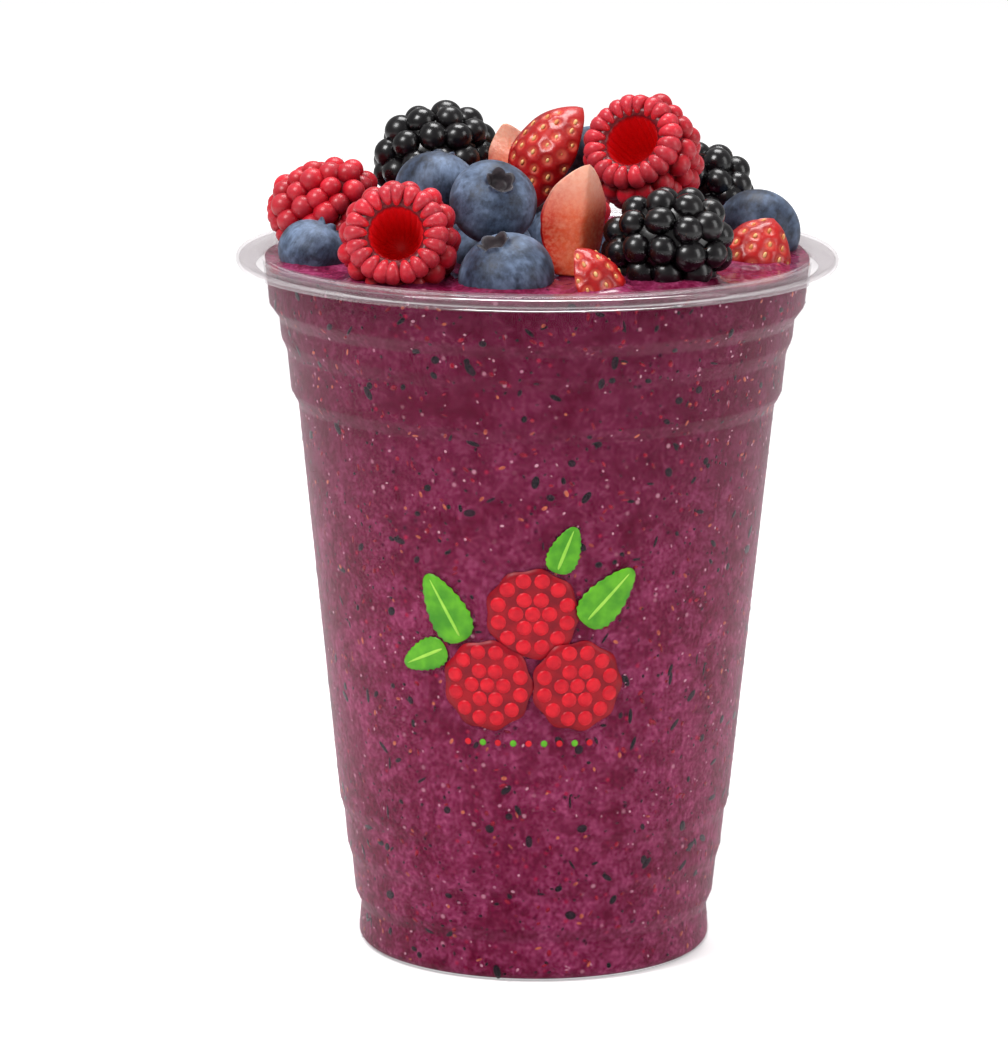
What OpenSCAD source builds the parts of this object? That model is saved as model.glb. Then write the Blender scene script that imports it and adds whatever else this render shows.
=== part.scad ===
// Berry smoothie in a clear stepped cup, heaped with fresh berries and strawberry pieces.
// The cup stands on its foot ring at z = 0, with its axis on Z. The front faces -Y.
// Every piece of fruit is let down from above until it floats in the drink or meets
// a piece below it, so the heap closes up again when a size is changed.

/* [Cup] */
// Diameter over the rolled rim
rim_d = 98; // [80:1:118]
// Height of the cup
cup_h = 115.5; // [94:0.5:140]
// Diameter at the groove above the foot
groove_d = 57.7; // [50:0.1:62]
// Thickness of the wall
wall = 0.55; // [0.4:0.05:0.8]
// Width of the rolled rim outside the wall
rim_w = 4.3; // [3:0.1:6]
// Height of the rolled rim
rim_h = 2.6; // [2:0.1:4]
// Gap between the wall and the turned-in edge of the rim
curl_gap = 1; // [0.6:0.1:2]

/* [Wall steps] */
// Heights of the three lower steps above the table
low_steps = [6.7, 14.5, 22.6]; // [5:0.1:30]
// How far each lower step stands out
low_widths = [1, 0.7, 0.7]; // [0.4:0.05:1.2]
// Depths of the three upper steps under the top of the rim
high_steps = [24.9, 16.2, 10.7]; // [9:0.1:32]
// How far each upper step stands out
high_widths = [1.2, 0.95, 1.6]; // [0.4:0.05:2]
// Height over which a step widens
step_rise = 2.3; // [1.2:0.1:3]
// Radius of the bends in the wall, at its middle
bend_r = 1.3; // [0.6:0.1:2]

/* [Base] */
// Diameter of the foot
foot_d = 58.6; // [50:0.1:66]
// Radius of the bend under the foot
foot_bend = 2.6; // [1:0.1:4]
// Diameter of the dished middle of the base
dish_d = 46; // [38:0.5:50]
// Depth of the dished middle
dish_h = 1.6; // [0.8:0.1:3]

/* [Smoothie] */
// Distance from the top of the rim down to the drink, at the wall
freeboard = 1.7; // [1:0.1:8]
// Rise of the drink's surface to its middle
crown_h = 0.8; // [0:0.1:3]

/* [Blueberries] */
// Diameter of a blueberry
blueberry_d = 14; // [11:0.5:17]
// Height of a blueberry, as a share of its diameter
blueberry_flat = 0.88; // [0.75:0.01:1]
// Diameter of its crown, as a share of its diameter
calyx_share = 0.34; // [0.25:0.01:0.45]
// Depth of the dimple in its crown
calyx_depth = 1.2; // [0.6:0.1:2]

/* [Raspberries] */
// Diameter of a raspberry
raspberry_d = 19.4; // [15:0.1:23]
// Length of a raspberry, as a share of its diameter
raspberry_long = 0.94; // [0.8:0.01:1.2]
// Diameter of one bead of a raspberry
raspberry_bead = 3.6; // [2.8:0.1:4.4]
// Diameter of the hollow at its mouth
hollow_d = 8.4; // [6:0.1:11]
// Depth of the hollow, as a share of the length
hollow_share = 0.62; // [0.4:0.01:0.75]

/* [Brambles] */
// Diameter of a bramble
bramble_d = 17.6; // [14:0.1:21]
// Length of a bramble, as a share of its diameter
bramble_long = 1.16; // [1:0.01:1.4]
// Diameter of one bead of a bramble
bramble_bead = 4.6; // [3.6:0.1:5.6]

/* [Strawberry pieces] */
// Length of a strawberry wedge
wedge_l = 19; // [15:0.1:23]
// Diameter of the strawberry it was cut from, as a share of the length
wedge_wide = 0.78; // [0.6:0.01:0.9]
// Length of a small strawberry chunk
chunk_l = 10.5; // [8:0.1:13]

/* [Hidden] */
// Clearance between neighbouring pieces of fruit
fruit_gap = 0.1;
// Clearance between round fruit and the drink it is sunk in
sunk_gap = 0.1;
// Faces round a full circle
$fn = 64;
// Facets along one bend of the wall
bend_steps = 4;
// Facets along the profile of a fruit
profile_steps = 14;
// Rows of beads on a raspberry, and how far a bead stands proud of its flesh
raspberry_rows = 6;
bead_proud = 0.42;
// Space that one bead takes along its row, as a share of its diameter
bead_pitch = 0.86;
// Angle between the starts of two rows of beads
row_turn = 11;

// Kinds of fruit
BLUEBERRY = 0;
RASPBERRY = 1;
BRAMBLE = 2;
WEDGE = 3;
CHUNK = 4;

// The fruit from the bottom of the heap to its top: name, kind, size beside its kind's own,
// place across and along the mouth as shares of its radius, height of its middle over the
// drink when it floats free as a share of its size, then how it is turned: lean from upright,
// heading of the lean, and spin about its own axis.
HEAP = [
  ["blueberry_front", BLUEBERRY, 1.1, -0.11, -0.67, 0.1, 28, 230, 0],
  ["strawberry_back", WEDGE, 0.85, 0.49, 0.72, 0.12, 78, 160, 190],
  ["blueberry_back_left", BLUEBERRY, 0.93, -0.67, 0.5, 0.13, 35, 120, 10],
  ["blueberry_back", BLUEBERRY, 0.96, 0.07, 0.82, 0.13, 40, 60, 25],
  ["bramble_back", BRAMBLE, 0.84, -0.33, 0.7, 0.12, 75, 20, 30],
  ["blueberry_left", BLUEBERRY, 0.84, -0.82, -0.2, 0.19, 32, 20, 15],
  ["raspberry_back", RASPBERRY, 0.93, 0.05, 0.43, 0.12, 50, 60, 0],
  ["blueberry_inner_left", BLUEBERRY, 1.03, -0.42, 0.17, 0, 20, 90, 0],
  ["blueberry_inner_right", BLUEBERRY, 1.01, 0.33, -0.09, -0.05, 70, 200, 0],
  ["blueberry_inner_front", BLUEBERRY, 0.97, -0.16, -0.2, 0.13, 50, 300, 0],
  ["strawberry_front", CHUNK, 1, 0.21, -0.75, 0.24, 20, 200, 250],
  ["strawberry_right", CHUNK, 1.1, 0.81, -0.14, 0.23, 25, 10, 250],
  ["blueberry_right", BLUEBERRY, 1.01, 0.82, 0.18, 0.23, 75, 75, 0],
  ["raspberry_front", RASPBERRY, 1, -0.49, -0.53, 0.23, 66, 265, 0],
  ["blueberry_inner", BLUEBERRY, 0.86, 0.08, 0.08, 0.3, 10, 0, 0],
  ["bramble_front", BRAMBLE, 1.04, 0.47, -0.51, 0.3, 80, 350, 0],
  ["bramble_right", BRAMBLE, 0.84, 0.65, 0.48, 0.45, 80, 120, 0],
  ["raspberry_left", RASPBERRY, 0.9, -0.76, 0.13, 0.45, 125, 160, 0],
  ["strawberry_middle", WEDGE, 0.95, 0.12, -0.42, 0.5, 165, 200, 225],
  ["blueberry_upper", BLUEBERRY, 0.97, -0.37, -0.15, 0.8, 35, 80, 0],
  ["blueberry_middle", BLUEBERRY, 1, -0.16, -0.43, 0.8, 48, 285, 0],
  ["blueberry_top", BLUEBERRY, 0.85, 0.2, 0.27, 0.8, 60, 100, 0],
  ["strawberry_top", WEDGE, 0.95, 0.03, 0.04, 0.6, 30, 10, 225],
  ["bramble_left", BRAMBLE, 1.02, -0.39, 0.36, 0.6, 70, 10, 0],
  ["raspberry_top", RASPBERRY, 1, 0.42, -0.03, 0.6, 58, 246, 0],
  ["strawberry_slice", WEDGE, 0.73, -0.08, 0.27, 0.6, 20, 100, 90],
];
NAME = 0;
KIND = 1;
SIZE = 2;
SPOT = [3, 4];
FLOAT = 5;
TURN = [6, 7, 8];

// --- The wall of the cup: one sheet bent along its middle line ---

steps = concat(
  [for (i = [0:2]) [low_steps[i], low_widths[i]]],
  [for (i = [0:2]) [cup_h - high_steps[i], high_widths[i]]]
);
collar_r = rim_d / 2 - rim_w;
plain_h = cup_h - low_steps[0] - len(steps) * step_rise;
slope = (collar_r - groove_d / 2 - sum([for (s = steps) s[1]])) / plain_h;

function sum(v, i = 0) = i < len(v) ? v[i] + sum(v, i + 1) : 0;
function reversed(v) = [for (i = [len(v) - 1:-1:0]) v[i]];
function unit(v) = v / norm(v);
function left_of(v) = [-v[1], v[0]];

// Outer radius of the wall at the foot of step i
function step_r(i) =
  i == 0 ? groove_d / 2
         : step_r(i - 1) + steps[i - 1][1] + slope * (steps[i][0] - steps[i - 1][0] - step_rise);

// Outer radius of the collar above the last step
function collar_at(z) = collar_r - slope * (cup_h - z);

wall_line = concat(
  [[0, dish_h + wall / 2], [dish_d / 2, dish_h + wall / 2], [dish_d / 2 + dish_h, wall / 2],
   [foot_d / 2 - wall / 2, wall / 2]],
  [for (i = [0:len(steps) - 1]) each [
    [step_r(i) - wall / 2, steps[i][0]],
    [step_r(i) + steps[i][1] - wall / 2, steps[i][0] + step_rise]
  ]]
);
rim_line = [
  [collar_r - wall / 2, cup_h - wall / 2],
  [rim_d / 2 - wall / 2, cup_h - wall / 2],
  [rim_d / 2 - wall / 2, cup_h - rim_h + wall / 2],
  [collar_r + curl_gap, cup_h - rim_h + wall / 2]
];

// Corner b of a line through a, b and c, moved to the left by off and rounded about the
// same centre as the middle line's own bend
function bend(a, b, c, off, r) =
  let (
    n1 = left_of(unit(b - a)),
    n2 = left_of(unit(c - b)),
    u = unit(a - b),
    w = unit(c - b),
    half = acos(u * w) / 2,
    turn = sign(cross(b - a, c - b)),
    r_line = min(r, 0.45 * min(norm(a - b), norm(c - b)) * tan(half)),
    r_side = r_line - off * turn,
    centre = b + off * (n1 + n2) / (1 + n1 * n2) + unit(u + w) * r_side / sin(half),
    start = atan2(-turn * n1[1], -turn * n1[0])
  )
  [for (k = [0:bend_steps])
    let (angle = start + turn * (180 - 2 * half) * k / bend_steps)
    centre + r_side * [cos(angle), sin(angle)]];

// One side of a sheet that follows a line, off to the left of it
function sheet_side(line, off) =
  let (last = len(line) - 1)
  concat(
    [line[0] + off * left_of(unit(line[1] - line[0]))],
    [for (i = [1:last - 1])
      each bend(line[i - 1], line[i], line[i + 1], off, i == 3 ? foot_bend : bend_r)],
    [line[last] + off * left_of(unit(line[last] - line[last - 1]))]
  );

module cup() {
  line = concat(wall_line, rim_line);
  color("aliceblue")
    rotate_extrude()
      polygon(concat(sheet_side(line, -wall / 2), reversed(sheet_side(line, wall / 2))));
}

// --- The drink fills the cup to its level, with a low crown ---

level = cup_h - freeboard;
mouth_r = collar_at(level) - wall * sqrt(1 + slope * slope);

// Height of the drink's surface at a distance r from the axis
function surface_z(r) = level + crown_h * (1 - pow(min(r / mouth_r, 1), 2));

module smoothie_body() {
  line = concat(wall_line, [rim_line[0]]);
  inside = [for (p = sheet_side(line, wall / 2)) if (p[1] < level) p];
  top = [for (k = [0:profile_steps]) let (r = mouth_r * (1 - k / profile_steps)) [r, surface_z(r)]];
  rotate_extrude() polygon(concat(inside, top));
}

module smoothie() {
  color("#7a2748")
    difference() {
      smoothie_body();
      for (i = [0:len(HEAP) - 1])
        if (sunk(i)) placed(i) hollow_for(i);
    }
}

// --- Shapes of the fruit, each about its own middle with its crown or mouth up ---

function blueberry_side(d) =
  let (
    r = d / 2,
    h = r * blueberry_flat,
    stop = acos(calyx_share),
    lip_z = h * sin(stop),
    lip_r = r * calyx_share
  )
  concat(
    [for (k = [0:profile_steps])
      let (angle = -90 + (90 + stop) * k / profile_steps)
      [k == 0 ? 0 : r * cos(angle), h * sin(angle)]],
    [[lip_r * 0.94, lip_z + 0.3], [lip_r * 0.78, lip_z], [lip_r * 0.5, lip_z - calyx_depth],
     [0, lip_z - calyx_depth]]
  );

module blueberry(d) {
  lip_z = d / 2 * blueberry_flat * sin(acos(calyx_share));
  lobe_notch = d * 0.06;
  color("#46546f")
    difference() {
      rotate_extrude() polygon(blueberry_side(d));
      for (k = [0:4])
        rotate([0, 0, 72 * k])
          translate([d / 2 * calyx_share * 0.9, 0, lip_z + 0.1])
            cube([d * 0.14, lobe_notch, calyx_depth * 0.8], center = true);
    }
}

// Radius of a raspberry's flesh at a share t of its length, from its tip to its mouth
function thimble_r(d, t) =
  (d / 2 - raspberry_bead * bead_proud) * sqrt(1 - pow(1 - min(t * 1.12, 1), 2.4)) * (1 - 0.12 * pow(t, 6));

function thimble_side(d, grow) =
  let (l = d * raspberry_long)
  concat(
    [for (k = [0:profile_steps]) let (t = k / profile_steps)
      [k == 0 ? 0 : thimble_r(d, t) + grow, l * (t - 0.5) + grow * (2 * t - 1)]],
    [[0, l / 2 + grow]]
  );

module raspberry(d) {
  l = d * raspberry_long;
  bead_r = raspberry_bead / 2;
  inset = bead_r * (1 - 2 * bead_proud);
  color("#b3122d")
    difference() {
      union() {
        rotate_extrude() polygon(thimble_side(d, 0));
        translate([0, 0, -l / 2 + bead_r * 0.6]) sphere(r = bead_r, $fn = 32);
        for (row = [0:raspberry_rows - 1]) {
          t = 0.93 - 0.83 * row / (raspberry_rows - 1) - 0.04 * sin(180 * row / (raspberry_rows - 1));
          ring_r = thimble_r(d, t) - inset;
          beads = max(4, floor(2 * PI * ring_r / (raspberry_bead * bead_pitch)));
          for (k = [0:beads - 1])
            rotate([0, 0, 360 * (k + 0.5 * (row % 2)) / beads + row_turn * row])
              translate([ring_r, 0, l * (t - 0.5)])
                sphere(r = bead_r, $fn = 32);
        }
      }
      rotate_extrude()
        polygon([[0, l * (0.5 - hollow_share)], [hollow_d * 0.22, l * (0.5 - hollow_share) + 0.6],
                 [hollow_d * 0.42, l * 0.15], [hollow_d / 2, l / 2], [hollow_d / 2 + 1, l],
                 [0, l]]);
    }
}

// Outline of an egg, for the flesh of a bramble
function egg_side(d, l, grow) =
  [for (k = [0:profile_steps])
    let (angle = -90 + 180 * k / profile_steps)
    [k == 0 || k == profile_steps ? 0 : (d / 2 + grow) * cos(angle), (l / 2 + grow) * sin(angle)]];

module bramble(d) {
  l = d * bramble_long;
  bead_r = bramble_bead / 2;
  sink = bramble_bead * (0.5 - bead_proud);
  flesh_d = d - 2 * bramble_bead * bead_proud;
  flesh_l = l - 2 * bramble_bead * bead_proud;
  rows = round(PI * (flesh_d + flesh_l) / 4 / (bramble_bead * bead_pitch));
  color("#1f1a22")
    union() {
      rotate_extrude() polygon(egg_side(flesh_d, flesh_l, 0));
      for (row = [0:rows]) {
        angle = -90 + 180 * row / rows;
        ring_r = (flesh_d / 2 - sink) * cos(angle);
        beads = max(1, floor(2 * PI * ring_r / (bramble_bead * bead_pitch)));
        for (k = [0:beads - 1])
          rotate([0, 0, 360 * (k + 0.5 * (row % 2)) / beads + row_turn * row])
            translate([beads == 1 ? 0 : ring_r, 0, (flesh_l / 2 - sink) * sin(angle)])
              sphere(r = bead_r, $fn = 32);
      }
    }
}

// Outline of a strawberry from its pointed tip at the top to its shoulder
function strawberry_side(l, r) =
  concat(
    [[0, l / 2]],
    [for (k = [1:profile_steps])
      let (t = k / profile_steps)
      [r * pow(sin(150 * pow(t, 0.8)), 0.9), l * (0.5 - t)]],
    [[0, -l / 2]]
  );

// A third of a strawberry, its cut edge near the middle of the piece
module wedge(l) {
  r = l * wedge_wide / 2;
  color("#d2301f")
    translate([-r * 0.45, 0, 0])
      rotate([0, 0, -60])
        rotate_extrude(angle = 120) polygon(strawberry_side(l, r));
}

// The shoulder of a small strawberry, cut across and halved
module chunk(l) {
  color("#d2301f")
    translate([-l * 0.22, 0, -l * 0.4])
      rotate([0, 0, -80])
        rotate_extrude(angle = 160)
          polygon([[0, 0], [l * 0.52, 0], [l * 0.56, l * 0.2], [l * 0.5, l * 0.42], [l * 0.36, l * 0.64],
                   [l * 0.17, l * 0.8], [0, l * 0.86]]);
}

function size_of(i) =
  HEAP[i][SIZE] * [blueberry_d, raspberry_d, bramble_d, wedge_l, chunk_l][HEAP[i][KIND]];

module fruit(i) {
  kind = HEAP[i][KIND];
  if (kind == BLUEBERRY) blueberry(size_of(i));
  if (kind == RASPBERRY) raspberry(size_of(i));
  if (kind == BRAMBLE) bramble(size_of(i));
  if (kind == WEDGE) wedge(size_of(i));
  if (kind == CHUNK) chunk(size_of(i));
}

// The room that a sunk fruit takes up in the drink
module hollow_for(i) {
  kind = HEAP[i][KIND];
  d = size_of(i);
  if (kind == BLUEBERRY) rotate_extrude() polygon(egg_side(d, d * blueberry_flat, 0));
  if (kind == RASPBERRY) rotate_extrude() polygon(thimble_side(d, raspberry_bead * bead_proud + sunk_gap));
  if (kind == BRAMBLE) rotate_extrude() polygon(egg_side(d, d * bramble_long, sunk_gap));
  if (kind == WEDGE) wedge(d);
  if (kind == CHUNK) chunk(d);
}

// --- Letting each fruit down onto the drink or onto the fruit below it ---

// Balls that stand for a fruit of size 1 where it may touch another: x, y, z, radius, about its
// own middle. A wedge is wide across and thin from its cut edge to its skin.
BALLS = [
  [[0, 0, 0, 0.5]],
  concat(
    [[0, 0, 0.13, 0.47], [0, 0, -0.03, 0.48], [0, 0, -0.15, 0.36]],
    [for (k = [0:5]) [0.21 * cos(60 * k), 0.21 * sin(60 * k), 0.25, 0.26]]
  ),
  [[0, 0, -0.18, 0.43], [0, 0, 0, 0.5], [0, 0, 0.18, 0.43]],
  concat(
    [[-0.1, 0, 0.42, 0.1], [0.02, 0, 0.24, 0.16], [0.02, 0, 0, 0.2], [0, 0, -0.3, 0.18]],
    [for (side = [-1, 1]) each [
      [-0.03, 0.12 * side, 0.24, 0.14], [0, 0.18 * side, 0, 0.17], [-0.02, 0.15 * side, -0.3, 0.14]
    ]]
  ),
  concat(
    [[0.05, 0, -0.08, 0.38], [-0.08, 0, 0.26, 0.2]],
    [for (side = [-1, 1]) [-0.06, 0.3 * side, -0.18, 0.24]]
  )
];

// A vector of a fruit's own frame after the fruit is turned into the heap
function turned(v, i) =
  let (
    lean = HEAP[i][TURN[0]],
    heading = HEAP[i][TURN[1]],
    spin = HEAP[i][TURN[2]],
    x1 = v[0] * cos(spin) - v[1] * sin(spin),
    y1 = v[0] * sin(spin) + v[1] * cos(spin),
    x2 = x1 * cos(lean) + v[2] * sin(lean),
    z2 = v[2] * cos(lean) - x1 * sin(lean)
  )
  [x2 * cos(heading) - y1 * sin(heading), x2 * sin(heading) + y1 * cos(heading), z2];

// A fruit's balls about its own middle: x, y, z, radius
function balls_of(i) =
  [for (b = BALLS[HEAP[i][KIND]])
    concat(turned([b[0], b[1], b[2]], i) * size_of(i), [b[3] * size_of(i)])];

function spot_of(i) = mouth_r * [HEAP[i][SPOT[0]], HEAP[i][SPOT[1]]];

// How high ball a, over spot p, has to be to clear ball b, which already lies in the heap
function clear_height(a, p, b) =
  let (
    reach = a[3] + b[3] + fruit_gap,
    apart = norm([p[0] + a[0] - b[0], p[1] + a[1] - b[1]])
  )
  apart < reach ? b[2] + sqrt(reach * reach - apart * apart) - a[2] : 0;

function rest_height(i, heap_balls) =
  let (p = spot_of(i), afloat = surface_z(norm(p)) + HEAP[i][FLOAT] * size_of(i))
  max(concat([afloat], [for (a = balls_of(i)) for (b = heap_balls) clear_height(a, p, b)]));

// Middles of all the fruit from number i on, given the balls and middles of those below
function let_down(i, heap_balls, middles) =
  i == len(HEAP) ? middles :
  let (
    p = spot_of(i),
    middle = [p[0], p[1], rest_height(i, heap_balls)],
    balls = [for (b = balls_of(i)) [for (k = [0:3]) k == 3 ? b[3] : b[k] + middle[k]]]
  )
  let_down(i + 1, concat(heap_balls, balls), concat(middles, [middle]));

MIDDLES = let_down(0, [], []);

// Whether a fruit reaches below the surface of the drink
function sunk(i) =
  min([for (b = balls_of(i)) MIDDLES[i][2] + b[2] - b[3]]) < surface_z(norm(spot_of(i)));

module placed(i) {
  translate(MIDDLES[i])
    rotate([0, HEAP[i][TURN[0]], HEAP[i][TURN[1]]])
      rotate([0, 0, HEAP[i][TURN[2]]])
        children();
}

cup();
smoothie();
for (i = [0:len(HEAP) - 1])
  placed(i) fruit(i);
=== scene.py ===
import math

import bpy
import numpy as np
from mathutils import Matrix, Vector


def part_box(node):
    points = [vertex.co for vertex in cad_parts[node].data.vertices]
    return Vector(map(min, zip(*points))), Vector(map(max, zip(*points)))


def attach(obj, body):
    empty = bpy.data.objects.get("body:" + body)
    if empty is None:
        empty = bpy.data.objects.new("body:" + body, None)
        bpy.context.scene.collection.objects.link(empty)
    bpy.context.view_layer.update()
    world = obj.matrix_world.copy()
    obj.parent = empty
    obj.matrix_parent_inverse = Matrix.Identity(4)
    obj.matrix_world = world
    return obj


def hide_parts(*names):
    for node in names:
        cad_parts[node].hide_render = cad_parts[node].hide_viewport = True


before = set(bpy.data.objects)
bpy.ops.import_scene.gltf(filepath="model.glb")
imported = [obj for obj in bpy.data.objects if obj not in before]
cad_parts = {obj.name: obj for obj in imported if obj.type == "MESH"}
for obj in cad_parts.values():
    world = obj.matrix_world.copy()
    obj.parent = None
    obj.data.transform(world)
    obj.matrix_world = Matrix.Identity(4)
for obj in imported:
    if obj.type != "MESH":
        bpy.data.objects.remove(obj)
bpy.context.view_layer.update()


MM = 0.001


# ---------------------------------------------------------------------------------------
# The cup: a thin sheet of clear plastic, drawn down into a mould with three steps near
# the foot and three under the collar. Its rim is rolled outwards and under. Sizes in mm.
# ---------------------------------------------------------------------------------------
cup_low, cup_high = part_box("cup")
RIM_D = (cup_high.x - cup_low.x) / MM
CUP_H = cup_high.z / MM
GROOVE_D = 57.7
WALL = 0.55
RIM_W = 4.3
RIM_H = 2.6
CURL_GAP = 1.0
LOW_STEPS = [(6.7, 1.0), (14.5, 0.7), (22.6, 0.7)]
HIGH_STEPS = [(24.9, 1.2), (16.2, 0.95), (10.7, 1.6)]
STEP_RISE = 2.3
BEND_R = 1.3
FOOT_BEND = 2.6
FOOT_D = 58.6
DISH_D = 46.0
DISH_H = 1.6
COLLAR_R = RIM_D / 2 - RIM_W
CUP_SEGMENTS = 192
BEND_STEPS = 7

steps = LOW_STEPS + [(CUP_H - depth, width) for depth, width in HIGH_STEPS]
wall_slope = (COLLAR_R - GROOVE_D / 2 - sum(w for _, w in steps)) / (
    CUP_H - steps[0][0] - len(steps) * STEP_RISE
)


def wall_line():
    """Middle line of the wall, from the middle of the base up to the collar."""
    line = [(0, DISH_H + WALL / 2), (DISH_D / 2, DISH_H + WALL / 2)]
    line += [(DISH_D / 2 + DISH_H, WALL / 2), (FOOT_D / 2 - WALL / 2, WALL / 2)]
    r, z = GROOVE_D / 2, steps[0][0]
    for height, width in steps:
        r += wall_slope * (height - z)
        line += [(r - WALL / 2, height), (r + width - WALL / 2, height + STEP_RISE)]
        r, z = r + width, height + STEP_RISE
    return line + [(COLLAR_R - WALL / 2, CUP_H - WALL / 2)]


def left_of(v):
    return np.array([-v[1], v[0]]) / np.linalg.norm(v)


def rim_line():
    under = CUP_H - RIM_H + WALL / 2
    out = RIM_D / 2 - WALL / 2
    return [(out, CUP_H - WALL / 2), (out, under), (COLLAR_R + CURL_GAP, under)]


def sheet_side(line, off):
    """One face of the sheet: the middle line moved off to its left, with rounded bends."""
    p = [np.array(q, float) for q in line]
    side = [left_of(p[1] - p[0]) * off + p[0]]
    for i in range(1, len(p) - 1):
        a, b, c = p[i - 1], p[i], p[i + 1]
        n1, n2 = left_of(b - a), left_of(c - b)
        u, w = (a - b) / np.linalg.norm(a - b), (c - b) / np.linalg.norm(c - b)
        half = math.acos(float(u @ w)) / 2
        turn = math.copysign(1, (b - a)[0] * (c - b)[1] - (b - a)[1] * (c - b)[0])
        room = 0.45 * min(np.linalg.norm(a - b), np.linalg.norm(c - b)) * math.tan(half)
        r = min(FOOT_BEND if i == 3 else BEND_R, room) - off * turn
        inward = (u + w) / np.linalg.norm(u + w)
        centre = b + off * (n1 + n2) / (1 + n1 @ n2) + inward * r / math.sin(half)
        start = math.atan2(-turn * n1[1], -turn * n1[0])
        for k in range(BEND_STEPS + 1):
            angle = start + turn * (math.pi - 2 * half) * k / BEND_STEPS
            side.append(centre + r * np.array([math.cos(angle), math.sin(angle)]))
    return side + [left_of(p[-1] - p[-2]) * off + p[-1]]


def loft(name, start, loops, end):
    """A closed skin over a row of loops between two end points, in mm, faces outwards."""
    loops = np.asarray(loops, float)
    rows, count = loops.shape[:2]
    points = np.vstack([[start], loops.reshape(-1, 3), [end]])
    here = np.arange(count)
    there = (here + 1) % count
    faces = [(0, 1 + b, 1 + a) for a, b in zip(here, there)]
    for i in range(rows - 1):
        low, high = 1 + i * count, 1 + (i + 1) * count
        faces += [(low + a, low + b, high + b, high + a) for a, b in zip(here, there)]
    last = 1 + (rows - 1) * count
    faces += [(last + a, last + b, len(points) - 1) for a, b in zip(here, there)]
    volume = 0.0
    for f in faces:
        for k in range(1, len(f) - 1):
            volume += float(points[f[0]] @ np.cross(points[f[k]], points[f[k + 1]]))
    if volume < 0:
        faces = [f[::-1] for f in faces]
    mesh = bpy.data.meshes.new(name)
    mesh.from_pydata(points * MM, [], faces)
    mesh.shade_smooth()
    piece = bpy.data.objects.new(name, mesh)
    bpy.context.scene.collection.objects.link(piece)
    return piece


def turned_on_axis(profile, segments):
    """Loops of a turned shape: each point of the profile goes once round the axis."""
    angles = np.linspace(0, 2 * math.pi, segments, endpoint=False)
    ring = np.stack([np.cos(angles), np.sin(angles)], 1)
    return [np.column_stack([ring * r, np.full(segments, z)]) for r, z in profile]


def colour(r, g, b):
    """A colour on the usual 0..255 scale, for a material."""
    part = [(c / 255 + 0.055) / 1.055 for c in (r, g, b)]
    return tuple((x**2.4 if c > 10 else c / 255 / 12.92) for x, c in zip(part, (r, g, b))) + (1,)


class Wire:
    """A value in a material. Arithmetic on it adds the nodes that work it out."""

    def __init__(self, finish, socket):
        self.finish, self.socket = finish, socket

    def _math(self, operation, a, b):
        return self.finish.add("ShaderNodeMath", {"operation": operation}, {0: a, 1: b})

    def __add__(self, other):
        return self._math("ADD", self, other)

    def __mul__(self, other):
        return self._math("MULTIPLY", self, other)

    def __rsub__(self, other):
        return self._math("SUBTRACT", other, self)

    __radd__ = __add__

    def step(self, low, high):
        """0 below low and 1 above high, with a soft passage between them."""
        settings = {"interpolation_type": "SMOOTHSTEP"}
        return self.finish.add("ShaderNodeMapRange", settings, {0: self, 1: low, 2: high})


class Finish:
    """A material that is built up from nodes."""

    def __init__(self, name):
        self.material = bpy.data.materials.new(name)
        self.material.use_nodes = True
        self.nodes = self.material.node_tree.nodes
        self.links = self.material.node_tree.links
        self.nodes.clear()

    def add(self, kind, settings=None, sockets=None, output=0):
        node = self.nodes.new(kind)
        for key, value in (settings or {}).items():
            setattr(node, key, value)
        for key, value in (sockets or {}).items():
            if isinstance(value, Wire):
                self.links.new(value.socket, node.inputs[key])
            else:
                node.inputs[key].default_value = value
        return Wire(self, node.outputs[output]) if len(node.outputs) else None

    def mix(self, factor, a, b):
        """From colour a at factor 0 to colour b at factor 1."""
        return self.add("ShaderNodeMix", {"data_type": "RGBA"}, {0: factor, 6: a, 7: b}, 2)

    def place(self):
        return self.add("ShaderNodeTexCoord", output="Object")

    def own(self, attribute, output="Fac"):
        return self.add("ShaderNodeAttribute", {"attribute_name": attribute}, output=output)

    def noise(self, at, scale, detail=2.0, roughness=0.5):
        sockets = {"Vector": at, "Scale": scale, "Detail": detail, "Roughness": roughness}
        return self.add("ShaderNodeTexNoise", None, sockets)

    def bump(self, height, strength, distance_mm):
        sockets = {"Strength": strength, "Distance": distance_mm * MM, "Height": height}
        return self.add("ShaderNodeBump", None, sockets)

    def surface(self, sockets):
        return self.add("ShaderNodeBsdfPrincipled", None, sockets)

    def done(self, shader):
        self.add("ShaderNodeOutputMaterial", None, {"Surface": shader})
        return self.material


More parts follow.
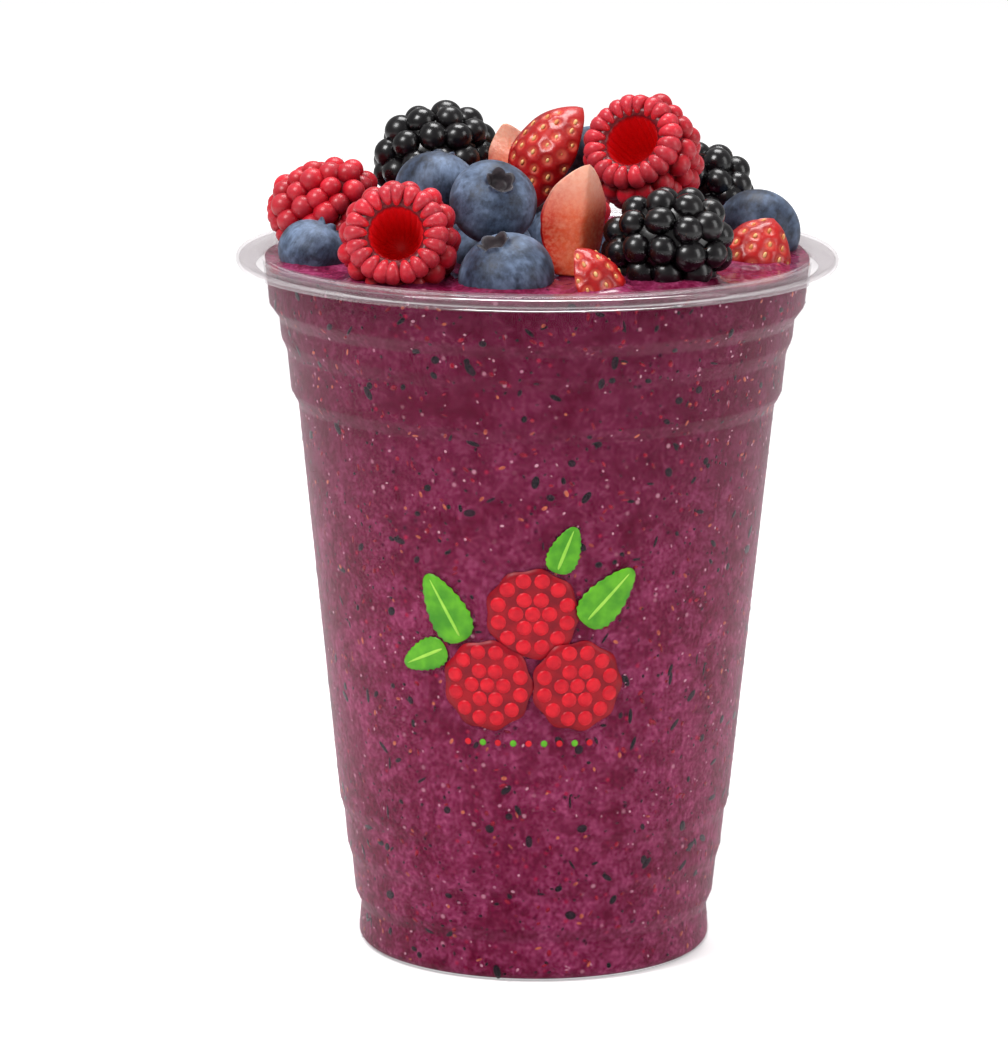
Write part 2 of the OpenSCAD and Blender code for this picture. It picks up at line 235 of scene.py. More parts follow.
def clear_plastic():
    """Clear cup plastic: mostly see-through, shiny, with milky white at its edges as a painted
    reflection of the white room, and a faint streaky milkiness on the rolled rim.
    """
    f = Finish("clear plastic")
    at = f.place()
    up = f.add("ShaderNodeSeparateXYZ", None, {0: at}, 2)
    facing = f.add("ShaderNodeLayerWeight", None, {"Blend": 0.35}, 1)
    streaks = f.noise(at, 60.0, 3.0)
    clear = f.add("ShaderNodeBsdfTransparent", None, {"Color": (0.97, 0.97, 0.975, 1)})
    milky = f.add("ShaderNodeBsdfDiffuse", None, {"Color": colour(236, 226, 232)})
    rim = up.step((CUP_H - RIM_H - 0.6) * MM, (CUP_H - RIM_H + 0.3) * MM)
    # painted reflection: white is mixed in towards the grazing edges for the white room reflected
    # there; the rolled rim also gets a faint streaky milkiness
    painted_reflection_and_rim_haze = facing * facing * (0.2 - rim * 0.14) + rim * streaks * 0.05
    rolled = f.add("ShaderNodeBsdfTransparent", None, {"Color": (0.91, 0.895, 0.9, 1)})
    sheet = f.add("ShaderNodeMixShader", None, {0: rim, 1: clear, 2: rolled})
    body = f.add("ShaderNodeMixShader", None, {0: painted_reflection_and_rim_haze, 1: sheet, 2: milky})
    mirror = f.add("ShaderNodeBsdfGlossy", None, {"Color": (1, 1, 1, 1), "Roughness": 0.09})
    shine = f.add("ShaderNodeFresnel", None, {"IOR": 1.5})
    share = shine * (rim * 0.14 + 0.16)
    return f.done(f.add("ShaderNodeMixShader", None, {0: share, 1: body, 2: mirror}))


def finish_with(piece, material):
    piece.data.materials.clear()
    piece.data.materials.append(material)
    return piece


line = wall_line()
cup_sheet = line + rim_line()
profile = sheet_side(cup_sheet, -WALL / 2) + sheet_side(cup_sheet, WALL / 2)[::-1]
cup = loft(
    "clear_cup",
    (0, 0, profile[0][1]),
    turned_on_axis(profile[1:-1], CUP_SEGMENTS),
    (0, 0, profile[-1][1]),
)
finish_with(cup, clear_plastic())
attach(cup, "root")
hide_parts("cup")


# ---------------------------------------------------------------------------------------
# The print on the front of the wall: a plain motif of round berries and leaves, laid on
# in flat inks, with a row of dots below it.
# ---------------------------------------------------------------------------------------
INK = 0.03
INK_GAP = 0.02
PRINT_X = -1.0
PRINT_MIDDLE_H = 60
LEAF_POINTS = 48
VEIN_SHARE = 0.84
VEIN_W = 0.5


def wall_radius(z):
    """Outer radius of the plain part of the wall at a height above the table."""
    foot = steps[2]
    r = GROOVE_D / 2 + sum(w for _, w in LOW_STEPS)
    r += wall_slope * (foot[0] - steps[0][0] - 2 * STEP_RISE)
    return r + wall_slope * (z - foot[0] - STEP_RISE)


def on_wall(u, v, off):
    """A spot u mm round from the middle of the front and v mm up, off mm out of the wall."""
    r = wall_radius(v) + off
    angle = (u + PRINT_X) / wall_radius(PRINT_MIDDLE_H) - math.pi / 2
    return (r * math.cos(angle), r * math.sin(angle), v)


def ink_field(name, middle, outline, layer, rings=6):
    """A flat field of ink with a star-shaped outline round its middle."""
    low, high = INK_GAP + layer * INK, INK_GAP + (layer + 1) * INK
    middle, outline = np.array(middle, float), np.array(outline, float)
    spots = [middle + (outline - middle) * k / rings for k in range(1, rings + 1)]
    loops = [[on_wall(u, v, low) for u, v in loop] for loop in spots]
    loops += [[on_wall(u, v, high) for u, v in loop] for loop in spots[::-1]]
    return loft(name, on_wall(*middle, low), loops, on_wall(*middle, high))


def disc(middle, r, wobble, segments):
    """A round field, its edge waved nine times by a share of its radius."""
    angles = np.linspace(0, 2 * math.pi, segments, endpoint=False)
    reach = r * (1 + wobble * np.cos(9 * angles))
    return np.column_stack([middle[0] + reach * np.cos(angles), middle[1] + reach * np.sin(angles)])


def leaf(middle, length, width, heading, toothed=True):
    """A pointed leaf, with a toothed or a smooth edge."""
    t = np.linspace(0, 2 * math.pi, LEAF_POINTS, endpoint=False)
    along = np.cos(t) * length / 2
    edge = np.abs(np.sin(t)) ** 0.8 * (1 + 0.1 * (np.arange(LEAF_POINTS) % 2) * toothed)
    across = np.sign(np.sin(t)) * edge * width / 2 * (1 - 0.35 * np.cos(t))
    c, s = math.cos(heading), math.sin(heading)
    return np.column_stack([middle[0] + along * c - across * s, middle[1] + along * s + across * c])


def ink(name, shade, dark, scale):
    f = Finish(name)
    wear = f.noise(f.place(), scale, 3.0).step(0.3, 0.7)
    sockets = {"Base Color": f.mix(wear, dark, shade), "Roughness": 0.4, "Specular IOR Level": 0.2}
    return f.done(f.surface(sockets))


def join(name, parts):
    """Several meshes made into one piece."""
    with bpy.context.temp_override(active_object=parts[0], selected_editable_objects=parts):
        bpy.ops.object.join()
    parts[0].name = parts[0].data.name = name
    return parts[0]


def lay_ink(name, fields, material):
    piece = join(name, fields)
    finish_with(piece, material)
    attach(piece, "root")


PRINT_BERRIES = [(0.6, 62.6), (-6.8, 50.6), (8.0, 50.6)]
PRINT_BERRY_R = 7.4
PRINT_BEAD_R = 1.25
berry_fields = []
bead_fields = []
for n, berry in enumerate(PRINT_BERRIES):
    berry_fields.append(ink_field("berry", berry, disc(berry, PRINT_BERRY_R, 0.035, 54), 2 * n))
    for ring, beads in ((0.0, 1), (0.36, 6), (0.76, 12)):
        for k in range(beads):
            angle = 2 * math.pi * (k + 0.5 * (ring > 0.5)) / beads
            spot = (
                berry[0] + ring * PRINT_BERRY_R * math.cos(angle),
                berry[1] + ring * PRINT_BERRY_R * math.sin(angle),
            )
            bead_fields.append(ink_field("bead", spot, disc(spot, PRINT_BEAD_R, 0, 12), 2 * n + 1, 2))
DOT_ROW = 41.0
DOT_PITCH = 2.6
DOT_R = 0.55


def dots(places):
    """Small round dots in the row under the berries."""
    spots = [(place * DOT_PITCH, DOT_ROW) for place in places]
    return [ink_field("dot", spot, disc(spot, DOT_R, 0, 16), 0, 2) for spot in spots]


red_dots = dots((-4, -2, 0, 2, 4))
green_dots = dots((-3, -1, 1, 3))
dark_red_ink = ink("dark red ink", colour(150, 8, 24), colour(112, 4, 22), 300.0)
lay_ink("print_berries", berry_fields, dark_red_ink)
red_ink = ink("red ink", colour(206, 22, 38), colour(176, 12, 32), 500.0)
lay_ink("print_beads", bead_fields + red_dots, red_ink)
leaves = []
veins = []
for u, v, length, width, heading in (
    (-13.6, 63.0, 12.0, 6.2, 118),
    (-17.6, 54.6, 8.6, 4.6, 205),
    (12.6, 65.2, 11.5, 6.0, 48),
    (5.6, 73.2, 8.0, 4.4, 70),
):
    turn = math.radians(heading)
    leaves.append(ink_field("leaf", (u, v), leaf((u, v), length, width, turn), 7))
    vein = leaf((u, v), length * VEIN_SHARE, VEIN_W, turn, False)
    veins.append(ink_field("vein", (u, v), vein, 8, 2))
green_ink = ink("green ink", colour(96, 168, 34), colour(58, 128, 26), 260.0)
lay_ink("print_leaves", leaves + green_dots, green_ink)
pale_green_ink = ink("pale green ink", colour(164, 210, 84), colour(130, 190, 60), 260.0)
lay_ink("print_veins", veins, pale_green_ink)


# ---------------------------------------------------------------------------------------
# The smoothie: thick blended berries and yoghurt, poured in to just under the rim. It
# clings to the wall, climbs a little at the wall and round each fruit that floats in it.
# ---------------------------------------------------------------------------------------
FREEBOARD = 1.7
CROWN_H = 0.8
INTO_WALL = 0.25
LEVEL = CUP_H - FREEBOARD
POUR_SEGMENTS = 240
TOP_RINGS = 64
LUMP_WAVES = 9
# heights of what shapes the surface, and how far it reaches
SWIRL_H, SWIRL_PITCH = 0.16, 9
RIPPLE_H, RIPPLE_PITCH = 0.07, 3.2
WALL_CLIMB, WALL_REACH = 0.55, 1.3
FRUIT_CLIMB, FRUIT_REACH = 0.9, 0.9
BELOW_RIM = 0.35
# a fruit whose lowest point is under LEVEL + WET_H is wetted by the drink
WET_H = 0.6
# the drink turns darker between these heights
DARKER_FROM, DARKER_TO = 50, 100

# Every fruit of the heap: kind, size in mm, then lean, heading and spin in degrees.
FRUIT = {
    "blueberry_front": ("blueberry", 15.4, 28, 230, 0),
    "strawberry_back": ("wedge", 16.1, 78, 160, 190),
    "blueberry_back_left": ("blueberry", 13.0, 35, 120, 10),
    "blueberry_back": ("blueberry", 13.4, 40, 60, 25),
    "bramble_back": ("bramble", 14.8, 75, 20, 30),
    "blueberry_left": ("blueberry", 11.8, 32, 20, 15),
    "raspberry_back": ("raspberry", 18.0, 50, 60, 0),
    "blueberry_inner_left": ("blueberry", 14.4, 20, 90, 0),
    "blueberry_inner_right": ("blueberry", 14.1, 70, 200, 0),
    "blueberry_inner_front": ("blueberry", 13.6, 50, 300, 0),
    "strawberry_front": ("chunk", 10.5, 20, 200, 130),
    "strawberry_right": ("chunk", 11.6, 25, 10, 250),
    "blueberry_right": ("blueberry", 14.1, 75, 75, 0),
    "raspberry_front": ("raspberry", 19.4, 66, 265, 0),
    "blueberry_inner": ("blueberry", 12.0, 10, 0, 0),
    "bramble_front": ("bramble", 18.3, 80, 350, 0),
    "bramble_right": ("bramble", 14.8, 80, 120, 0),
    "raspberry_left": ("raspberry", 17.5, 125, 160, 0),
    "strawberry_middle": ("pale_wedge", 18.1, 5, 0, 118),
    "blueberry_upper": ("blueberry", 13.6, 35, 80, 0),
    "blueberry_middle": ("blueberry", 14.0, 48, 285, 0),
    "blueberry_top": ("blueberry", 11.9, 60, 100, 0),
    "strawberry_top": ("wedge", 18.1, 30, 10, 225),
    "bramble_left": ("bramble", 18.0, 70, 10, 0),
    "raspberry_top": ("raspberry", 19.4, 58, 246, 0),
    "strawberry_slice": ("pale_wedge", 13.9, 25, 130, -35),
}


def middle_of(node):
    low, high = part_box(node)
    return np.array((low + high) / 2) / MM


def lumps(x, y, size, seed):
    """Soft hills and dips between -1 and 1, about size mm apart."""
    rng = np.random.default_rng(seed)
    total = np.zeros_like(x)
    for _ in range(LUMP_WAVES):
        heading, phase = rng.uniform(0, 2 * math.pi, 2)
        pitch = size * rng.uniform(0.7, 1.5)
        total += np.sin(2 * math.pi * (x * math.cos(heading) + y * math.sin(heading)) / pitch + phase)
    return total / (LUMP_WAVES / 2)


floats = []
for node, (kind, size, *_) in FRUIT.items():
    low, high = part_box(node)
    if low.z / MM < LEVEL + WET_H:
        half = ((high.x - low.x) + (high.y - low.y)) / 4 / MM
        middle = middle_of(node)
        sunk = (LEVEL + CROWN_H - middle[2]) / half
        floats.append((middle[0], middle[1], half * math.sqrt(max(0.05, 1 - sunk * sunk))))

inside = [p for p in sheet_side(line, WALL / 2 - INTO_WALL) if p[1] < LEVEL]
edge_r = inside[-1][0] + wall_slope * (LEVEL - inside[-1][1])


def surface_height(x, y):
    """Height of the drink's surface: a low crown, soft swirls, and a rise at what it meets."""
    r = np.hypot(x, y)
    z = LEVEL + CROWN_H * (1 - np.minimum(r / edge_r, 1) ** 2)
    z = z + SWIRL_H * lumps(x, y, SWIRL_PITCH, 4) + RIPPLE_H * lumps(x, y, RIPPLE_PITCH, 5)
    z = z + WALL_CLIMB * np.exp(-(edge_r - r) / WALL_REACH)
    for fx, fy, fr in floats:
        away = np.maximum(np.hypot(x - fx, y - fy) - fr, 0)
        z = z + FRUIT_CLIMB * np.exp(-away / FRUIT_REACH)
    return np.minimum(z, CUP_H - BELOW_RIM)


side_rings = turned_on_axis(inside[1:], POUR_SEGMENTS)
angles = np.linspace(0, 2 * math.pi, POUR_SEGMENTS, endpoint=False)
top_rings = []
for k in range(TOP_RINGS):
    r = edge_r * (1 - (k / TOP_RINGS) ** 1.25)
    x, y = r * np.cos(angles), r * np.sin(angles)
    top_rings.append(np.column_stack([x, y, surface_height(x, y)]))
crown = surface_height(np.zeros(1), np.zeros(1))[0]
smoothie = loft("smoothie_pour", (0, 0, inside[0][1]), side_rings + top_rings, (0, 0, crown))


def smoothie_finish():
    """Blended berries: crimson, milky pink and dark patches, with fine specks of skin."""
    f = Finish("smoothie")
    at = f.place()
    broad = f.noise(at, 95.0, 4.0, 0.6).step(0.36, 0.64)
    patches = f.noise(at, 330.0, 4.0, 0.65).step(0.42, 0.62)
    grain = f.noise(at, 1300.0, 2.0, 0.6).step(0.38, 0.68)
    height = f.add("ShaderNodeSeparateXYZ", None, {0: at}, 2)
    top = height.step((LEVEL - 0.6) * MM, LEVEL * MM)
    deep = f.mix(grain, colour(86, 2, 36), colour(112, 14, 54))
    milky = f.mix(grain, colour(126, 34, 74), colour(156, 64, 104))
    base = f.mix(patches * 0.6 + broad * 0.4, deep, milky)
    upper = height.step(DARKER_FROM * MM, DARKER_TO * MM)
    base = f.mix(upper * (1 - top) * 0.55, base, colour(74, 2, 32))
    cells = {"Vector": at, "Scale": 620.0, "Randomness": 1.0}
    near = f.add("ShaderNodeTexVoronoi", None, cells, 0)
    tint = f.add("ShaderNodeTexVoronoi", None, cells, 1)
    lot = f.add("ShaderNodeSeparateColor", None, {0: tint}, 0)
    size = f.add("ShaderNodeSeparateColor", None, {0: tint}, 1)
    speck = (1 - near.step(0.1, 0.34)) * size.step(0.2, 1.0)
    base = f.mix(speck * (1 - lot.step(0.12, 0.14)) * 0.9, base, colour(44, 10, 30))
    red_lot = lot.step(0.14, 0.16) * (1 - lot.step(0.34, 0.36))
    base = f.mix(speck * red_lot * 0.8, base, colour(168, 26, 62))
    base = f.mix(speck * lot.step(0.88, 0.9) * 0.75, base, colour(196, 132, 152))
    relief = f.noise(at, 520.0, 3.0, 0.6)
    sockets = {
        "Base Color": base,
        "Roughness": 0.6,
        "Specular IOR Level": 0.03,
        "Coat Weight": top * 0.9,
        "Coat Roughness": 0.1,
        "Normal": f.bump(relief * top, 0.4, 0.3),
    }
    return f.done(f.surface(sockets))


finish_with(smoothie, smoothie_finish())
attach(smoothie, "root")
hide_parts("smoothie")


# ---------------------------------------------------------------------------------------
# Bits in the smoothie that show through the wall: dark scraps of berry skin, red pulp,
# tan seeds and pale flecks of yoghurt, each pressed flat against the plastic.
# ---------------------------------------------------------------------------------------
class Tree:
    """A Geometry Nodes tree with named inputs."""

    def __init__(self, name):
        self.group = bpy.data.node_groups.new(name, "GeometryNodeTree")
        self.group.interface.new_socket("Geometry", in_out="OUTPUT", socket_type="NodeSocketGeometry")
        self.group.interface.new_socket("Geometry", in_out="INPUT", socket_type="NodeSocketGeometry")
        self.inlet = self.group.nodes.new("NodeGroupInput")
        self.outlet = self.group.nodes.new("NodeGroupOutput")

    def takes(self, name, kind):
        self.group.interface.new_socket(name, in_out="INPUT", socket_type="NodeSocket" + kind)

    def given(self, name):
        return self.inlet.outputs[name]

    def add(self, kind, settings=None, sockets=None, output=0):
        node = self.group.nodes.new(kind)
        for key, value in (settings or {}).items():
            setattr(node, key, value)
        for key, value in (sockets or {}).items():
            if isinstance(value, bpy.types.NodeSocket):
                self.group.links.new(value, node.inputs[key])
            else:
                node.inputs[key].default_value = value
        return node.outputs[output]

    def noted(self, name):
        """A vector that was noted for each corner of the base's mesh."""
        vector = {"data_type": "FLOAT_VECTOR"}
        return self.add("GeometryNodeInputNamedAttribute", vector, {0: name})

    def finish(self, instances, material):
        real = self.add("GeometryNodeRealizeInstances", None, {"Geometry": instances})
        smooth = self.add("GeometryNodeSetShadeSmooth", None, {"Geometry": real, "Shade Smooth": True})
        done = self.add("GeometryNodeSetMaterial", None, {"Geometry": smooth, "Material": material})
        self.group.links.new(done, self.outlet.inputs[0])


def grown(name, base, tree, values):
    """A plain mesh from a tree run on a base object, which is then thrown away."""
    modifier = base.modifiers.new("grow", "NODES")
    modifier.node_group = tree.group
    for item in tree.group.interface.items_tree:
        if item.in_out == "INPUT" and item.name in values:
            modifier[item.identifier] = values[item.name]
    graph = bpy.context.evaluated_depsgraph_get()
    mesh = bpy.data.meshes.new_from_object(base.evaluated_get(graph), depsgraph=graph)
    bpy.data.objects.remove(base)
    piece = bpy.data.objects.new(name, mesh)
    mesh.name = name
    bpy.context.scene.collection.objects.link(piece)
    return piece


def bits_tree():
    """Scatters small flattened bits over a surface."""
    tree = Tree("bits in the smoothie")
    for name, kind in (
        ("Bits per square metre", "Float"),
        ("Smallest", "Vector"),
        ("Largest", "Vector"),
        ("Fineness", "Int"),
        ("Seed", "Int"),
        ("Finish", "Material"),
    ):
        tree.takes(name, kind)
    scatter = {
        "Mesh": tree.given("Geometry"),
        "Density": tree.given("Bits per square metre"),
        "Seed": tree.given("Seed"),
    }
    points = tree.add("GeometryNodeDistributePointsOnFaces", None, scatter)
    lie = points.node.outputs["Rotation"]
    full_turn = {2: 0.0, 3: 6.28, "Seed": tree.given("Seed")}
    spin = tree.add("FunctionNodeRandomValue", {"data_type": "FLOAT"}, full_turn, 1)
    turn = tree.add("ShaderNodeCombineXYZ", None, {2: spin})
    lie = tree.add("FunctionNodeRotateRotation", {"rotation_space": "LOCAL"}, {0: lie, 1: turn})
    size = tree.add(
        "FunctionNodeRandomValue",
        {"data_type": "FLOAT_VECTOR"},
        {0: tree.given("Smallest"), 1: tree.given("Largest"), "Seed": tree.given("Seed")},
    )
    shape = {"Radius": 0.5, "Subdivisions": tree.given("Fineness")}
    bit = tree.add("GeometryNodeMeshIcoSphere", None, shape)
    on_points = {"Points": points, "Instance": bit, "Rotation": lie, "Scale": size}
    placed = tree.add("GeometryNodeInstanceOnPoints", None, on_points)
    tree.finish(placed, tree.given("Finish"))
    return tree


def bit_finish(name, shade, dark, roughness):
    f = Finish(name)
    tone = f.noise(f.place(), 900.0, 2.0).step(0.35, 0.65)
    base = f.mix(tone, dark, shade)
    sockets = {"Base Color": base, "Roughness": roughness, "Specular IOR Level": 0.15}
    return f.done(f.surface(sockets))


# name, bits per square metre, least and greatest length and width in mm, fineness, seed,
# light and dark colour, material slot
BITS = [
    ("skin_bits", 21000, (0.4, 0.3), (2.7, 1.5), 2, 3,
     colour(40, 8, 28), colour(16, 5, 16), "blueberry"),
    ("skin_crumbs", 80000, (0.25, 0.2), (0.85, 0.6), 1, 31,
     colour(52, 8, 34), colour(26, 5, 20), "bramble"),
    ("pulp_bits", 34000, (0.35, 0.3), (1.6, 1.0), 1, 5,
     colour(158, 18, 50), colour(122, 6, 38), "raspberry"),
    ("seeds_in_smoothie", 12000, (0.5, 0.35), (1.2, 0.75), 2, 7,
     colour(190, 96, 70), colour(146, 52, 50), "strawberry"),
    ("pale_flecks", 34000, (0.2, 0.2), (0.8, 0.6), 1, 11,
     colour(206, 150, 168), colour(170, 100, 128), "smoothie"),
]
# least and greatest thickness of a bit, in mm
BIT_DEPTH = (0.1, 0.2)
BITS_FROM_Z = 1.2
bits = bits_tree()
for name, density, least, most, fineness, seed, shade, dark, slot in BITS:
    profile = [p for p in inside[1:] if p[1] > BITS_FROM_Z] + [(edge_r, LEVEL)]
    shell = loft("shell", (0, 0, BITS_FROM_Z), turned_on_axis(profile, 96), (0, 0, LEVEL))
    shell_mesh = shell.data
    # bits grow on the wall only, so the closing fans above and below are left out
    sides = [p.vertices[:] for p in shell_mesh.polygons if len(p.vertices) == 4]
    wall_mesh = bpy.data.meshes.new("wall")
    wall_mesh.from_pydata([v.co for v in shell_mesh.vertices], [], sides)
    shell.data = wall_mesh
    values = {
        "Bits per square metre": density,
        "Smallest": Vector((least[0], least[1], BIT_DEPTH[0])) * MM,
        "Largest": Vector((most[0], most[1], BIT_DEPTH[1])) * MM,
        "Fineness": fineness,
        "Seed": seed,
        "Finish": bit_finish(name.replace("_", " "), shade, dark, 0.45),
    }
    piece = grown(name, shell, bits, values)
    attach(piece, "root")


# ---------------------------------------------------------------------------------------
# Blueberries: round, a little flattened berries with a waxy grey-blue bloom, rubbed off
# in places, and a five-pointed crown round a dark dimple.
# ---------------------------------------------------------------------------------------
BERRY_SEGMENTS = 70
CROWN_SHARE = 0.32
DIMPLE = 1.15
LOBE_LIFT = 0.75
BLUEBERRY_FLAT = 0.88


def turn_matrix(lean, heading, spin):
    def about_z(a):
        return np.array([[math.cos(a), -math.sin(a), 0], [math.sin(a), math.cos(a), 0], [0, 0, 1]])

    a = math.radians(lean)
    about_y = np.array([[math.cos(a), 0, math.sin(a)], [0, 1, 0], [-math.sin(a), 0, math.cos(a)]])
    return about_z(math.radians(heading)) @ about_y @ about_z(math.radians(spin))


def note(piece, name, values):
    """Keeps a number or a vector for each corner of a piece's mesh."""
    values = np.asarray(values, np.float32)
    kind = "FLOAT" if values.ndim == 1 else "FLOAT_VECTOR"
    layer = piece.data.attributes.new(name, kind, "POINT")
    layer.data.foreach_set("value" if kind == "FLOAT" else "vector", values.ravel())


def corners(piece):
    co = np.zeros(len(piece.data.vertices) * 3, np.float32)
    piece.data.vertices.foreach_get("co", co)
    return co.reshape(-1, 3).astype(float) / MM


def move_corners(piece, co):
    piece.data.vertices.foreach_set("co", (co * MM).astype(np.float32).ravel())
    piece.data.update()


def seat(piece, node):
    """Turns a fruit as it lies in the heap and moves it to its place there."""
    lean, heading, spin = FRUIT[node][2:]
    co = corners(piece) @ turn_matrix(lean, heading, spin).T
    co += middle_of(node) - (co.min(0) + co.max(0)) / 2
    move_corners(piece, co)
    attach(piece, "root")
    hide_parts(node)
    return piece


def blueberry(name, d, seed):
    rng = np.random.default_rng(seed)
    a = d / 2
    c = a * BLUEBERRY_FLAT
    crown_r = a * CROWN_SHARE
    lip = c * math.sqrt(1 - CROWN_SHARE**2)
    angles = np.linspace(0, 2 * math.pi, BERRY_SEGMENTS, endpoint=False)
    ragged = 1 + 0.25 * np.cos(angles + rng.uniform(0, 6))
    ragged = ragged + 0.15 * np.cos(2 * angles + rng.uniform(0, 6))
    lobe = np.abs(np.sin(2.5 * angles)) ** 1.1
    lift = LOBE_LIFT * lobe * ragged
    loops, masks = [], []
    # distance out as a share of the crown, height against the lip, and how much of the lobe
    for out, down, share, mask in (
        (0.25, -DIMPLE, 0, 1.0),
        (0.48, -DIMPLE * 0.96, 0, 1.0),
        (0.6, -DIMPLE * 0.8, 0, 1.0),
        (0.68, -DIMPLE * 0.35, 0.1, 1.0),
        (0.76, -0.05, 0.6, 0.95),
        (0.86, 0.0, 1.0, 0.75),
        (0.92, -0.02, 0.96, 0.45),
        (0.98, -0.08, 0.5, 0.3),
        (1.1, -0.14, 0.12, 0.2),
    ):
        flare = crown_r * (out + 0.2 * share * lobe)
        x, y = flare * np.cos(angles), flare * np.sin(angles)
        loops.append(np.column_stack([x, y, lip + down + lift * share]))
        masks.append(mask)
    start = math.acos(math.sqrt(1 - (1.3 * CROWN_SHARE) ** 2))
    for angle in np.linspace(start, math.pi, 30)[:-1]:
        ring = a * math.sin(angle)
        x, y = ring * np.cos(angles), ring * np.sin(angles)
        loops.append(np.column_stack([x, y, np.full(BERRY_SEGMENTS, c * math.cos(angle))]))
        masks.append(max(0.0, 0.12 - (angle - start) * 0.5))
    piece = loft(name, (0, 0, lip - DIMPLE + 0.12), loops, (0, 0, -c))
    co = corners(piece)
    across, deep_in = co[:, 0] + 0.6 * co[:, 2], co[:, 1] - 0.5 * co[:, 2]
    swell = 1 + 0.012 * lumps(across, deep_in, d * 0.8, seed + 50)
    note(piece, "local", co / d + rng.uniform(-50, 50, 3))
    note(piece, "crown", np.concatenate([[1.0], np.repeat(masks, BERRY_SEGMENTS), [0.0]]))
    move_corners(piece, co * swell[:, None])
    return piece


def blueberry_finish():
    """Dark navy skin under a streaky grey-blue bloom, bare and brown inside the crown."""
    f = Finish("blueberry")
    own = f.own("local", "Vector")
    cloud = f.noise(own, 2.2, 3.0, 0.55).step(0.32, 0.68)
    wisps = f.noise(own, 9.0, 5.0, 0.65).step(0.3, 0.72)
    long = f.add("ShaderNodeVectorMath", {"operation": "MULTIPLY"}, {0: own, 1: (20.0, 20.0, 5.0)})
    streaks = f.noise(long, 1.0, 4.0, 0.6).step(0.36, 0.68)
    rubbed = f.noise(own, 5.0, 2.0, 0.5).step(0.62, 0.74)
    crown = f.own("crown")
    bloom = (cloud * 0.45 + wisps * 0.35 + streaks * 0.3) * (1 - rubbed * 0.75)
    skin = f.mix(wisps, colour(9, 10, 20), colour(24, 28, 44))
    dusty = f.mix(cloud, colour(62, 78, 104), colour(108, 126, 154))
    base = f.mix(bloom, skin, dusty)
    dry = f.mix(wisps, colour(24, 18, 24), colour(52, 42, 46))
    base = f.mix(crown.step(0.3, 0.9), base, dry)
    relief = f.noise(own, 26.0, 4.0, 0.6)
    sockets = {
        "Base Color": base,
        "Roughness": 0.42 + bloom * 0.25,
        "Specular IOR Level": 0.3,
        "Sheen Weight": 0.05,
        "Sheen Roughness": 0.5,
        "Normal": f.bump(relief, 0.12, 0.12),
    }
    return f.done(f.surface(sockets))


blueberry_skin = blueberry_finish()
for number, (node, (kind, size, *_)) in enumerate(FRUIT.items()):
    if kind == "blueberry":
        berry = finish_with(blueberry(node + "_fruit", size, 10 + number), blueberry_skin)
        seat(berry, node)


# ---------------------------------------------------------------------------------------
# Raspberries: a thimble of many small juicy beads, picked off its core, so that a deep
# round hollow opens at the mouth between long folded beads. Fine down, shown as a pinkish
# haze on the bead tops that is partly a painted sheen, and dry hairs.
# ---------------------------------------------------------------------------------------
RASPBERRY_LONG = 0.94
RASPBERRY_BEAD = 3.6
HOLLOW_D = 8.4
HOLLOW_SHARE = 0.62
RASPBERRY_ROWS = 6
# the size of raspberry whose hollow is HOLLOW_D across
RASPBERRY_D = 19.4
ROW_TURN = 11
BEAD_PROUD = 0.42
RASPBERRY_SPACING = 0.84
RASPBERRY_HAIRS = 26
CORE_SEGMENTS = 80
MOUTH_BEADS = 20
LIP_SIDES = 12
LIP_STEPS = 14


def beads_tree():
    """Sets an egg-shaped bead on every point, along the point's own axis."""
    tree = Tree("beads on a berry")
    inputs = {"Fineness": "Int", "Unevenness": "Float", "Seed": "Int", "Finish": "Material"}
    for name, kind in inputs.items():
        tree.takes(name, kind)
    shape = {"Radius": 0.5, "Subdivisions": tree.given("Fineness")}
    ball = tree.add("GeometryNodeMeshIcoSphere", None, shape)
    spot = tree.add("GeometryNodeInputPosition")
    up = tree.add("ShaderNodeSeparateXYZ", None, {0: spot}, 2)
    store = {"data_type": "FLOAT", "domain": "POINT"}
    # each bead keeps its own height as rise; the berry finishes paint the low side of a bead darker as
    # shade in the creases, and the raspberry puts a pinkish haze on its top that is partly a painted
    # sheen
    rise = {"Geometry": ball, "Name": "rise", "Value": up}
    ball = tree.add("GeometryNodeStoreNamedAttribute", store, rise)
    axis, along, size = (tree.noted(name) for name in ("axis", "along", "size"))
    stand = tree.add("FunctionNodeAlignRotationToVector", {"axis": "Z"}, {"Vector": axis})
    turned = {"Rotation": stand, "Vector": along}
    stand = tree.add("FunctionNodeAlignRotationToVector", {"axis": "X", "pivot_axis": "Z"}, turned)
    less = tree.add("ShaderNodeMath", {"operation": "SUBTRACT"}, {0: 1.0, 1: tree.given("Unevenness")})
    more = tree.add("ShaderNodeMath", {"operation": "ADD"}, {0: 1.0, 1: tree.given("Unevenness")})
    between = {0: less, 1: more, "Seed": tree.given("Seed")}
    vary = tree.add("FunctionNodeRandomValue", {"data_type": "FLOAT_VECTOR"}, between)
    scale = tree.add("ShaderNodeVectorMath", {"operation": "MULTIPLY"}, {0: size, 1: vary})
    on_spots = {"Points": tree.given("Geometry"), "Instance": ball, "Rotation": stand, "Scale": scale}
    placed = tree.add("GeometryNodeInstanceOnPoints", None, on_spots)
    any_tone = {2: 0.0, 3: 1.0, "Seed": tree.given("Seed")}
    tone = tree.add("FunctionNodeRandomValue", {"data_type": "FLOAT"}, any_tone, 1)
    placed = tree.add(
        "GeometryNodeStoreNamedAttribute",
        {"data_type": "FLOAT", "domain": "INSTANCE"},
        {"Geometry": placed, "Name": "tone", "Value": tone},
    )
    tree.finish(placed, tree.given("Finish"))
    return tree


beads_on_berry = beads_tree()


